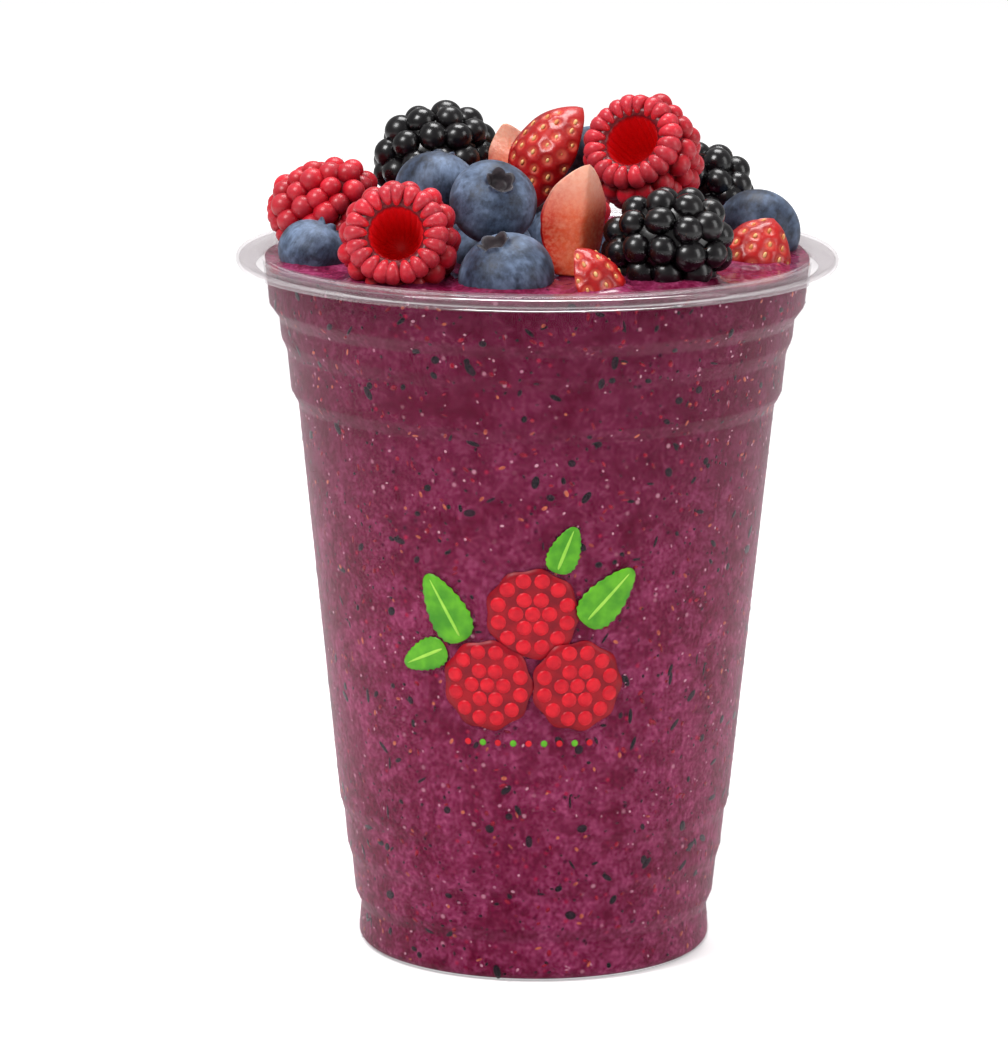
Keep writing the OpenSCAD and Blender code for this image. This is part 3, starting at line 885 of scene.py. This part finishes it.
def strung(name, spots, axes, alongs, sizes, values):
    """Beads on a list of spots, each with its axis, long side and size in mm."""
    mesh = bpy.data.meshes.new("spots")
    mesh.from_pydata(np.array(spots) * MM, [], [])
    base = bpy.data.objects.new("spots", mesh)
    bpy.context.scene.collection.objects.link(base)
    note(base, "axis", axes)
    note(base, "along", alongs)
    note(base, "size", np.array(sizes) * MM)
    return grown(name, base, beads_on_berry, values)


def thimble_r(d, t):
    bulge = math.sqrt(max(0.0, 1 - (1 - min(t * 1.12, 1)) ** 2.4))
    return (d / 2 - RASPBERRY_BEAD * BEAD_PROUD) * bulge * (1 - 0.12 * t**6)


def hair(name, root, heading, length, r):
    """A thin dry hair: a bent, pointed rod with three sides."""
    root, heading = np.array(root), np.array(heading)
    side = np.cross(heading, (0.3, 0.5, 0.81))
    side /= np.linalg.norm(side)
    other = np.cross(heading, side)
    loops = []
    for k in range(4):
        at = root + heading * length * k / 4 + side * length * 0.35 * (k / 4) ** 2
        corner = [side * math.cos(a) + other * math.sin(a) for a in (0, 2.09, 4.19)]
        loops.append([at + c * r * (1 - k * 0.2) for c in corner])
    tip = root + heading * length + side * length * 0.35
    return loft(name, tuple(root), loops, tuple(tip))


def fill(piece, name, value):
    note(piece, name, np.full(len(piece.data.vertices), value))


def raspberry_sizes(d):
    """Length of a raspberry, height of its mouth over its middle, and radius of the mouth."""
    length = d * RASPBERRY_LONG
    return length, length / 2, HOLLOW_D / 2 * d / RASPBERRY_D


def raspberry_core(d, flesh):
    """The flesh under the beads, and the hollow."""
    length, top, mouth_r = raspberry_sizes(d)
    outer = [(max(0.2, thimble_r(d, t) - 0.2), length * (t - 0.5)) for t in np.linspace(0.01, 0.9, 20)]
    outer += [(mouth_r + 1.2, top - 0.9), (mouth_r + 0.2, top - 1.3)]
    floor = top - length * HOLLOW_SHARE
    hollow = [(mouth_r * 0.98, top - 2.2), (mouth_r * 0.93, top - 4.2), (mouth_r * 0.84, top - 6.4)]
    hollow += [(mouth_r * 0.66, floor + 1.6), (mouth_r * 0.44, floor + 0.5), (mouth_r * 0.2, floor)]
    loops = turned_on_axis(outer + hollow, CORE_SEGMENTS)
    ribs = np.cos(np.linspace(0, 2 * math.pi, CORE_SEGMENTS, endpoint=False) * MOUTH_BEADS)
    for loop in loops[len(outer):]:
        grip = 1 - 0.045 * ribs + 0.02 * math.sin(loop[0][2] * 3)
        loop[:, :2] *= grip[:, None]
    core = loft("core", (0, 0, -length / 2), loops, (0, 0, floor - 0.1))
    rows = np.repeat([0.0] * len(outer) + [1.0] * len(hollow), CORE_SEGMENTS)
    inner = np.concatenate([[0.0], rows, [1.0]])
    note(core, "inner", inner)
    # the core between and under the beads takes the dark crease colour: painted shade in the gaps
    fill(core, "rise", -0.28)
    # down the hollow the tone grows with depth, and the finish paints the hollow darker there: painted
    # shade
    how_deep = np.clip((top - 2.0 - corners(core)[:, 2]) / (length * 0.5), 0, 1)
    note(core, "tone", np.where(inner > 0, how_deep, 0.4))
    return finish_with(core, flesh)


def raspberry_beads(d, seed, rng, flesh):
    """The beads of the outside, row by row from the mouth to the tip."""
    length = d * RASPBERRY_LONG
    inset = RASPBERRY_BEAD / 2 * (1 - 2 * BEAD_PROUD)
    spots, axes, alongs, sizes = [], [], [], []

    def bead(angle, t, bead_d, push=0.0):
        r = thimble_r(d, t) - inset + push
        step = 0.02
        rise = length * 2 * step
        run = thimble_r(d, min(1, t + step)) - thimble_r(d, max(0, t - step))
        tip = max(0.0, 0.3 - t) * 2.2
        out = np.array([math.cos(angle) * rise, math.sin(angle) * rise, -run])
        out = out / np.linalg.norm(out)
        out = out + np.array([0, 0, -tip])
        spots.append((r * math.cos(angle), r * math.sin(angle), length * (t - 0.5)))
        axes.append(out / np.linalg.norm(out))
        alongs.append((-math.sin(angle), math.cos(angle), 0))
        sizes.append((bead_d * 1.08, bead_d * 1.1, bead_d * 1.12))

    for row in range(1, RASPBERRY_ROWS):
        share = row / (RASPBERRY_ROWS - 1)
        t = 0.93 - 0.83 * share - 0.04 * math.sin(math.pi * share)
        r = thimble_r(d, t) - inset
        count = max(4, int(2 * math.pi * r / (RASPBERRY_BEAD * RASPBERRY_SPACING)))
        for k in range(count):
            angle = 2 * math.pi * (k + 0.5 * (row % 2)) / count + math.radians(ROW_TURN * row)
            angle += rng.uniform(-0.05, 0.05)
            where = t + rng.uniform(-0.018, 0.018)
            bead_d = RASPBERRY_BEAD * rng.uniform(0.92, 1.08)
            bead(angle, where, bead_d, rng.uniform(-0.15, 0.2))
    spots.append((0, 0, -length / 2 + 1.0))
    axes.append((0, 0, -1))
    alongs.append((1, 0, 0))
    sizes.append((3.3, 3.3, 3.2))
    values = {"Fineness": 4, "Unevenness": 0.05, "Seed": seed, "Finish": flesh}
    return strung("beads", spots, axes, alongs, sizes, values)


def mouth_fold(d, k, rng, flesh):
    """One of the long beads that are folded over the mouth."""
    _, top, mouth_r = raspberry_sizes(d)
    outer_r = thimble_r(d, 0.86) + RASPBERRY_BEAD * 0.2
    fold_r = (outer_r - mouth_r) / 2
    angle = 2 * math.pi * (k + rng.uniform(-0.12, 0.12)) / MOUTH_BEADS
    reach = fold_r * rng.uniform(0.95, 1.07)
    centre_r = mouth_r + fold_r
    half = math.pi * centre_r / MOUTH_BEADS * rng.uniform(1.1, 1.24)
    loops = []
    for step in range(LIP_STEPS):
        s = (step + 0.5) / LIP_STEPS
        bow = math.radians(205 - 235 * s)
        thick = half * math.sin(math.pi * min(1, 0.06 + 0.9 * s)) ** 0.38
        spread = (centre_r + reach * math.cos(bow)) / centre_r
        mid_r = centre_r + (reach - 1.1) * math.cos(bow)
        mid = np.array([mid_r, 0, top - 2.35 + (reach * 0.62) * math.sin(bow)])
        out = np.array([math.cos(bow), 0, math.sin(bow)])
        side = np.array([0, 1, 0]) * thick * spread
        turns = np.linspace(0, 2 * math.pi, LIP_SIDES, endpoint=False)
        loops.append([mid + out * thick * 0.98 * math.cos(a) + side * math.sin(a) for a in turns])
    cos, sin = math.cos(angle), math.sin(angle)
    turn = np.array([[cos, -sin, 0], [sin, cos, 0], [0, 0, 1]])
    loops = np.array(loops) @ turn.T
    fold = loft("fold", loops[0].mean(0), loops, loops[-1].mean(0))
    co = corners(fold)
    # low on each fold, towards the hollow, the rise is small, so the fold takes the painted crease
    # shade there; its top takes the pinkish haze, partly a painted sheen
    note(fold, "rise", np.clip((co[:, 2] - (top - 3.2)) / 3.0 - 0.1, -0.3, 0.5))
    fill(fold, "tone", rng.uniform())
    note(fold, "inner", np.clip((mouth_r + 1.3 - np.hypot(co[:, 0], co[:, 1])) / 1.2, 0, 1))
    return finish_with(fold, flesh)


def raspberry_hair(d, rng, dry):
    """A dry hair that stands out between the beads."""
    angle, t = rng.uniform(0, 2 * math.pi), rng.uniform(0.08, 0.85)
    r = thimble_r(d, t)
    out = np.array([math.cos(angle), math.sin(angle), rng.uniform(-0.6, 0.5)])
    out /= np.linalg.norm(out)
    root = (r * math.cos(angle), r * math.sin(angle), d * RASPBERRY_LONG * (t - 0.5))
    return finish_with(hair("hair", root, out, rng.uniform(1.8, 2.6), 0.055), dry)


def raspberry(name, d, seed, flesh, dry):
    rng = np.random.default_rng(seed)
    parts = [raspberry_core(d, flesh), raspberry_beads(d, seed, rng, flesh)]
    parts += [mouth_fold(d, k, rng, flesh) for k in range(MOUTH_BEADS)]
    parts += [raspberry_hair(d, rng, dry) for _ in range(RASPBERRY_HAIRS)]
    berry = join(name, parts)
    note(berry, "local", corners(berry) / d + rng.uniform(-40, 40, 3))
    return berry


def raspberry_finish():
    """Juicy crimson beads, painted darker in the creases and deeper in the hollow as shade, and a
    pinkish haze on the bead tops that is partly fine down and partly a painted sheen.
    """
    f = Finish("raspberry")
    own = f.own("local", "Vector")
    rise = f.own("rise")
    tone = f.own("tone")
    inner = f.own("inner")
    cloud = f.noise(own, 5.0, 3.0).step(0.3, 0.7)
    fine = f.noise(own, 60.0, 2.0)
    dome = f.mix(tone, colour(168, 4, 22), colour(198, 14, 36))
    dome = f.mix(cloud * 0.6, dome, colour(138, 4, 24))
    # painted shade: the creases, low on each bead, take a darker copy of the red
    painted_crease_shade = f.mix(tone, colour(84, 2, 12), colour(110, 4, 18))
    base = f.mix(rise.step(-0.35, 0.3), painted_crease_shade, dome)
    # pinkish haze on the tops of the beads: partly the fine down, partly a painted sheen
    base = f.mix(rise.step(0.2, 0.52) * (0.06 + fine * 0.22), base, colour(214, 96, 110))
    # bright red inside the hollow, darker deeper in as painted shade, since the tone runs with depth
    # there
    base = f.mix(inner * 0.9, base, f.mix(tone, colour(236, 16, 26), colour(210, 8, 16)))
    sockets = {
        "Base Color": base,
        "Roughness": 0.5 - rise.step(0.0, 0.5) * 0.08,
        "Subsurface Weight": 0.3,
        "Subsurface Radius": (1.0, 0.22, 0.2),
        "Subsurface Scale": 0.002,
        "Specular IOR Level": 0.2,
        "Sheen Weight": 0.04,
        "Sheen Roughness": 0.4,
        "Sheen Tint": colour(255, 190, 200),
        "Coat Weight": 0.25,
        "Coat Roughness": 0.22,
        "Normal": f.bump(fine, 0.2, 0.1),
    }
    return f.done(f.surface(sockets))


def hair_finish(name, shade):
    f = Finish(name)
    tone = f.noise(f.place(), 700.0, 1.0)
    base = f.mix(tone, shade, colour(96, 52, 40))
    return f.done(f.surface({"Base Color": base, "Roughness": 0.6}))


raspberry_flesh = raspberry_finish()
raspberry_down = hair_finish("raspberry hair", colour(196, 120, 104))
for number, (node, (kind, size, *_)) in enumerate(FRUIT.items()):
    if kind == "raspberry":
        berry = raspberry(node + "_fruit", size, 30 + number, raspberry_flesh, raspberry_down)
        seat(berry, node)


# ---------------------------------------------------------------------------------------
# Brambles: glossy, nearly black beads, larger and rounder than a raspberry's, packed
# round a solid core, with a few dry brown hairs between them.
# ---------------------------------------------------------------------------------------
BRAMBLE_LONG = 1.16
BRAMBLE_BEAD = 4.6
BRAMBLE_SPACING = 0.86
BRAMBLE_HAIRS = 14


def bramble(name, d, seed, flesh, dry):
    rng = np.random.default_rng(seed)
    length = d * BRAMBLE_LONG
    inset = BRAMBLE_BEAD * (0.5 - BEAD_PROUD)
    a = d / 2 - BRAMBLE_BEAD * BEAD_PROUD
    c = length / 2 - BRAMBLE_BEAD * BEAD_PROUD
    rows = round(math.pi * (a + c) / 2 / (BRAMBLE_BEAD * BRAMBLE_SPACING))
    angles = np.linspace(-math.pi / 2, math.pi / 2, 22)[1:-1]
    core_profile = [((a - 0.3) * math.cos(x), (c - 0.3) * math.sin(x)) for x in angles]
    core = loft("core", (0, 0, 0.3 - c), turned_on_axis(core_profile, 40), (0, 0, c - 0.3))
    # the core between the beads takes the dark crease colour: painted shade in the gaps
    fill(core, "rise", -0.3)
    fill(core, "tone", 0.3)
    finish_with(core, flesh)
    spots, axes, alongs, sizes = [], [], [], []
    for row in range(rows + 1):
        tilt = -math.pi / 2 + math.pi * row / rows
        ring = (a - inset) * math.cos(tilt)
        count = max(1, int(2 * math.pi * ring / (BRAMBLE_BEAD * BRAMBLE_SPACING)))
        for k in range(count):
            angle = 2 * math.pi * (k + 0.5 * (row % 2)) / count + math.radians(ROW_TURN * row)
            angle = angle + rng.uniform(-0.06, 0.06)
            lean = tilt + rng.uniform(-0.04, 0.04)
            r = 0 if count == 1 else (a - inset) * math.cos(lean) + rng.uniform(-0.15, 0.1)
            spots.append((r * math.cos(angle), r * math.sin(angle), (c - inset) * math.sin(lean)))
            flat = math.cos(lean)
            out = np.array([math.cos(angle) * flat / a, math.sin(angle) * flat / a, math.sin(lean) / c])
            axes.append(out / np.linalg.norm(out))
            alongs.append((-math.sin(angle), math.cos(angle), 0))
            girth = BRAMBLE_BEAD * rng.uniform(1.0, 1.12)
            sizes.append((girth * 0.98, girth * 1.02, girth))
    values = {"Fineness": 4, "Unevenness": 0.05, "Seed": seed, "Finish": flesh}
    parts = [core, strung("beads", spots, axes, alongs, sizes, values)]
    for _ in range(BRAMBLE_HAIRS):
        angle, lean = rng.uniform(0, 2 * math.pi), rng.uniform(-1.1, 1.1)
        flat = math.cos(lean)
        out = np.array([math.cos(angle) * flat, math.sin(angle) * flat, math.sin(lean)])
        root = out * (a, a, c)
        tuft = hair("hair", tuple(root), out, rng.uniform(1.9, 2.5), 0.05)
        parts.append(finish_with(tuft, dry))
    berry = join(name, parts)
    note(berry, "local", corners(berry) / d + rng.uniform(-40, 40, 3))
    return berry


def bramble_finish():
    """Black juice-filled beads, a wine-red tint low down that is also painted darker there as shade in
    the creases, and a hard soft-edged shine.
    """
    f = Finish("bramble")
    own = f.own("local", "Vector")
    rise = f.own("rise")
    tone = f.own("tone")
    cloud = f.noise(own, 7.0, 3.0).step(0.35, 0.65)
    dark = f.mix(tone, colour(3, 2, 4), colour(9, 6, 9))
    dark = f.mix(cloud * 0.5, dark, colour(12, 6, 9))
    # painted shade: the low side of each bead, in the creases, is darker and a little wine-red
    base = f.mix(rise.step(-0.3, 0.25), colour(4, 1, 2), dark)
    sockets = {
        "Base Color": base,
        "Roughness": 0.24 + cloud * 0.1,
        "Specular IOR Level": 0.38,
        "Coat Weight": 0.18,
        "Coat Roughness": 0.1,
        "Normal": f.bump(f.noise(own, 30.0, 3.0), 0.08, 0.15),
    }
    return f.done(f.surface(sockets))


bramble_flesh = bramble_finish()
bramble_hair = hair_finish("bramble hair", colour(110, 72, 44))
for number, (node, (kind, size, *_)) in enumerate(FRUIT.items()):
    if kind == "bramble":
        berry = bramble(node + "_fruit", size, 60 + number, bramble_flesh, bramble_hair)
        seat(berry, node)


# ---------------------------------------------------------------------------------------
# Strawberry pieces: ripe berries cut lengthways into wedges, and small shoulders cut
# across. Red skin with seeds in dimples outside, pale streaky flesh on the cut faces.
# ---------------------------------------------------------------------------------------
WEDGE_WIDE = 0.78
SKIN_STEPS = 56
CUT_STEPS = 12
LENGTH_STEPS = 64
SEED_PITCH = 2.7
FIRST_SEED = 1.6
SEED_ROW = 0.8
PIT_R = 0.85
PIT_DEPTH = 0.42
CHUNK_HIGH = 0.86
# seeds point out from the axis, and hardly up or down
OUTWARDS = (1, 1, 0.15)
# a pale wedge fades towards its shoulder: where it starts and over what share of its length
PALE_FROM = 0.02
PALE_OVER = 0.45


def wedge_outline(size):
    """Radius and height of a wedge's skin from its tip down to its shoulder."""
    r = size * WEDGE_WIDE / 2
    t = np.linspace(0, 1, LENGTH_STEPS + 1)[1:]
    out = r * np.sin(np.radians(150 * t**0.8)) ** 0.9
    return np.column_stack([out, size * (0.5 - t)]), 120, (-r * 0.45, 0, 0)


def chunk_outline(size):
    """Radius and height of a chunk's skin from its top down to its cut base."""
    marks = [(0, CHUNK_HIGH), (0.17, 0.8), (0.36, 0.64), (0.5, 0.42), (0.56, 0.2), (0.52, 0)]
    marks = np.array(marks) * size
    along = np.concatenate([[0], np.cumsum(np.linalg.norm(np.diff(marks, axis=0), axis=1))])
    t = np.linspace(0, along[-1], LENGTH_STEPS // 2 + 1)[1:]
    rounded = np.column_stack([np.interp(t, along, marks[:, k]) for k in (0, 1)])
    for _ in range(6):
        rounded[1:-1] = (rounded[:-2] + 2 * rounded[1:-1] + rounded[2:]) / 4
    return rounded, 160, (-size * 0.22, 0, -size * 0.4)


def section(half):
    """One loop: along the skin, then in over one cut face and out over the other.

    Each point holds its x and y, 1 on the skin and 0 on a cut, and how deep it lies in the cut.
    """
    arc = np.linspace(-half, half, SKIN_STEPS)
    path = [(math.cos(a), math.sin(a), 1.0, 0.0) for a in arc]
    for k in range(1, CUT_STEPS + 1):
        s = 1 - k / CUT_STEPS
        path.append((s * math.cos(half), s * math.sin(half), 0.0, 1 - s))
    for k in range(1, CUT_STEPS):
        s = k / CUT_STEPS
        path.append((s * math.cos(half), -s * math.sin(half), 0.0, 1 - s))
    return np.array(path)


def seed_places(outline, half, rng):
    """Angle, radius and height of each seed, in offset rows down the skin."""
    seeds = []
    span = np.concatenate([[0], np.cumsum(np.linalg.norm(np.diff(outline, axis=0), axis=1))])
    row = 0
    while FIRST_SEED + row * SEED_PITCH * SEED_ROW < span[-1] - 0.8:
        at = FIRST_SEED + row * SEED_PITCH * SEED_ROW
        r, z = np.interp(at, span, outline[:, 0]), np.interp(at, span, outline[:, 1])
        count = int((2 * half * r) / SEED_PITCH)
        for k in range(count + 1):
            angle = -half + 2 * half * (k + 0.5 * (row % 2) + 0.1) / max(1, count)
            angle = angle + rng.uniform(-0.04, 0.04)
            if abs(angle) < half - 0.5 / max(r, 1):
                seeds.append((angle, r, z + rng.uniform(-0.25, 0.25)))
        row += 1
    return seeds


def strawberry(name, kind, size, seed, flesh, seed_finish):
    rng = np.random.default_rng(seed)
    outline, sector, shift = chunk_outline(size) if kind == "chunk" else wedge_outline(size)
    half = math.radians(sector / 2)
    path = section(half)
    # the sharp edges of the cut are eased a little
    ease = path[:, :2].copy()
    for _ in range(3):
        ease = (np.roll(ease, 1, 0) + 2 * ease + np.roll(ease, -1, 0)) / 4
    seeds = seed_places(outline, half, rng)
    loops, skin, depth = [], [], []
    for r, z in outline:
        loops.append(np.column_stack([ease * r, np.full(len(path), z)]))
        skin.append(path[:, 2])
        depth.append(path[:, 3])
    loops = np.array(loops)
    loops[:, :, 0] += 0.25 * lumps(loops[:, :, 1], loops[:, :, 2], size * 0.5, seed)
    loops[:, :, 1] += 0.18 * lumps(loops[:, :, 0], loops[:, :, 2], size * 0.4, seed + 1)
    top_z = size * CHUNK_HIGH if kind == "chunk" else size / 2
    piece = loft("flesh", (0, 0, top_z), loops, (loops[-1].mean(0)[0], 0, outline[-1][1]))
    co = corners(piece)
    skin = np.concatenate([[1.0], np.concatenate(skin), [0.0]])
    depth = np.concatenate([[0.0], np.concatenate(depth), [0.6]])
    pit = np.zeros(len(co))
    where = np.array([(r * math.cos(a), r * math.sin(a), z) for a, r, z in seeds])
    for spot in where:
        pit = np.maximum(pit, np.exp(-(np.linalg.norm(co - spot, axis=1) / PIT_R) ** 2))
    pit *= skin
    out = co * OUTWARDS
    out /= np.maximum(np.linalg.norm(out, axis=1), 1e-6)[:, None]
    co -= out * (pit * PIT_DEPTH)[:, None]
    note(piece, "skin", skin)
    note(piece, "depth", depth)
    note(piece, "pit", pit)
    if kind == "pale_wedge":
        note(piece, "pale", np.clip((co[:, 2] / size - PALE_FROM) / PALE_OVER, 0, 1))
    move_corners(piece, co)
    finish_with(piece, flesh)
    parts = [piece]
    if len(where):
        outs = where * OUTWARDS
        outs /= np.linalg.norm(outs, axis=1)[:, None]
        values = {"Fineness": 2, "Unevenness": 0.12, "Seed": seed, "Finish": seed_finish}
        sizes = [(0.98, 0.6, 0.42)] * len(where)
        parts.append(strung("seeds", where - outs * 0.3, outs, [(0, 0, 1)] * len(where), sizes, values))
    berry = join(name, parts)
    note(berry, "local", corners(berry) / 10 + rng.uniform(-40, 40, 3))
    co = corners(berry)
    move_corners(berry, co + np.array(shift))
    return berry


def strawberry_finish():
    """Red skin with a painted highlight on the slope of each seed's dimple; the cut faces run from
    orange-red to a pale heart.
    """
    f = Finish("strawberry")
    own = f.own("local", "Vector")
    skin = f.own("skin").step(0.3, 0.8)
    depth = f.own("depth")
    pit = f.own("pit")
    cloud = f.noise(own, 2.2, 3.0).step(0.3, 0.7)
    fine = f.noise(own, 14.0, 3.0, 0.6).step(0.3, 0.7)
    drawn = f.add("ShaderNodeVectorMath", {"operation": "MULTIPLY"}, {0: own, 1: (3.0, 14.0, 14.0)})
    streaks = f.noise(drawn, 1.0, 4.0, 0.6).step(0.35, 0.7)
    red = f.mix(cloud, colour(134, 3, 7), colour(172, 11, 12))
    # painted highlight: a pale ring on the slope of each seed's dimple
    red = f.mix(pit.step(0.15, 0.6) * (1 - pit.step(0.75, 0.95)) * 0.45, red, colour(226, 110, 84))
    cut = f.mix(depth.step(0.0, 0.75), colour(188, 30, 12), colour(222, 96, 56))
    cut = f.mix(streaks * 0.3, cut, colour(240, 176, 140))
    cut = f.mix(fine * 0.3, cut, colour(200, 44, 20))
    base = f.mix(skin, cut, red)
    base = f.mix(f.own("pale") * (0.7 + fine * 0.3), base, colour(240, 186, 160))
    sockets = {
        "Base Color": base,
        "Roughness": 0.3 + fine * 0.12,
        "Specular IOR Level": 0.35,
        "Subsurface Weight": 0.15,
        "Subsurface Radius": (1.0, 0.2, 0.12),
        "Subsurface Scale": 0.002,
        "Coat Weight": 0.25,
        "Coat Roughness": 0.15,
        "Normal": f.bump(fine, 0.25, 0.15),
    }
    return f.done(f.surface(sockets))


strawberry_flesh = strawberry_finish()
strawberry_seed = bit_finish("strawberry seed", colour(226, 184, 124), colour(196, 122, 70), 0.4)
for number, (node, (kind, size, *_)) in enumerate(FRUIT.items()):
    if kind in ("wedge", "pale_wedge", "chunk"):
        name, seed = node + "_fruit", 90 + number
        berry = strawberry(name, kind, size, seed, strawberry_flesh, strawberry_seed)
        seat(berry, node)


# ---------------------------------------------------------------------------------------
# The studio: a wide pale floor before a white background, soft boxes on both sides and
# above, and a long lens a metre away that looks a little down on the cup.
# ---------------------------------------------------------------------------------------
STAND_OFF = 0.996
EYE_H = 0.2708
LOOK_DOWN = 11.447
LOOK_LEFT = 0.299
ROLL = 0.255
LENS = 211.1
# how brightly the white room lights the cup; seen itself, it is fully white
ROOM_LIGHT = 0.36

floor_mesh = bpy.data.meshes.new("floor")
floor_mesh.from_pydata([(-6, -6, 0), (6, -6, 0), (6, 6, 0), (-6, 6, 0)], [], [(0, 1, 2, 3)])
floor = bpy.data.objects.new("floor", floor_mesh)
bpy.context.scene.collection.objects.link(floor)
floor_finish = Finish("pale floor")
lit = floor_finish.add("ShaderNodeLightPath")
away = floor_finish.add("ShaderNodeVectorMath", {"operation": "LENGTH"}, {0: floor_finish.place()}, 1)
strength = lit * (away.step(0.3, 1.2) * 0.08 + 0.45)
glow = floor_finish.add("ShaderNodeEmission", None, {"Color": (1, 1, 1, 1), "Strength": strength})
matt = floor_finish.add("ShaderNodeBsdfDiffuse", None, {"Color": (0.88, 0.88, 0.88, 1)})
floor_finish.done(floor_finish.add("ShaderNodeAddShader", None, {0: glow, 1: matt}))
floor_mesh.materials.append(floor_finish.material)

world = bpy.data.worlds.new("studio")
bpy.context.scene.world = world
world.use_nodes = True
background = world.node_tree.nodes["Background"]
background.inputs["Color"].default_value = (1, 1, 1, 1)
backdrop = world.node_tree.nodes.new("ShaderNodeMapRange")
seen = world.node_tree.nodes.new("ShaderNodeLightPath")
backdrop.inputs["To Min"].default_value = ROOM_LIGHT
backdrop.inputs["To Max"].default_value = 1.0
world.node_tree.links.new(seen.outputs["Is Camera Ray"], backdrop.inputs["Value"])
world.node_tree.links.new(backdrop.outputs[0], background.inputs["Strength"])


def soft_box(name, at, aim, wide, high, power):
    light = bpy.data.lights.new(name, "AREA")
    light.shape, light.size, light.size_y, light.energy = "RECTANGLE", wide, high, power
    lamp = bpy.data.objects.new(name, light)
    lamp.location = at
    lamp.rotation_euler = (Vector(aim) - Vector(at)).to_track_quat("-Z", "Y").to_euler()
    bpy.context.scene.collection.objects.link(lamp)
    return lamp


soft_box("key", (-0.5, -0.5, 0.85), (0, 0, 0.09), 0.4, 0.4, 10.0)
soft_box("fill", (0.75, -0.35, 0.4), (0, 0, 0.07), 0.35, 0.7, 3.0)
soft_box("top", (0.05, 0.25, 0.9), (0, 0, 0.1), 0.45, 0.4, 7.0)

camera_data = bpy.data.cameras.new("camera")
camera_data.lens = LENS
camera_data.clip_start, camera_data.clip_end = 0.01, 50
camera = bpy.data.objects.new("camera", camera_data)
down, left, roll = math.radians(LOOK_DOWN), math.radians(LOOK_LEFT), math.radians(ROLL)
look = Vector((-math.sin(left) * math.cos(down), math.cos(left) * math.cos(down), -math.sin(down)))
turn = look.to_track_quat("-Z", "Y").to_matrix().to_4x4()
camera.matrix_world = turn
camera.location = (0, -STAND_OFF, EYE_H)
camera.rotation_euler.rotate_axis("Z", roll)
bpy.context.scene.collection.objects.link(camera)
bpy.context.scene.camera = camera
bpy.context.scene.view_settings.view_transform = "Standard"
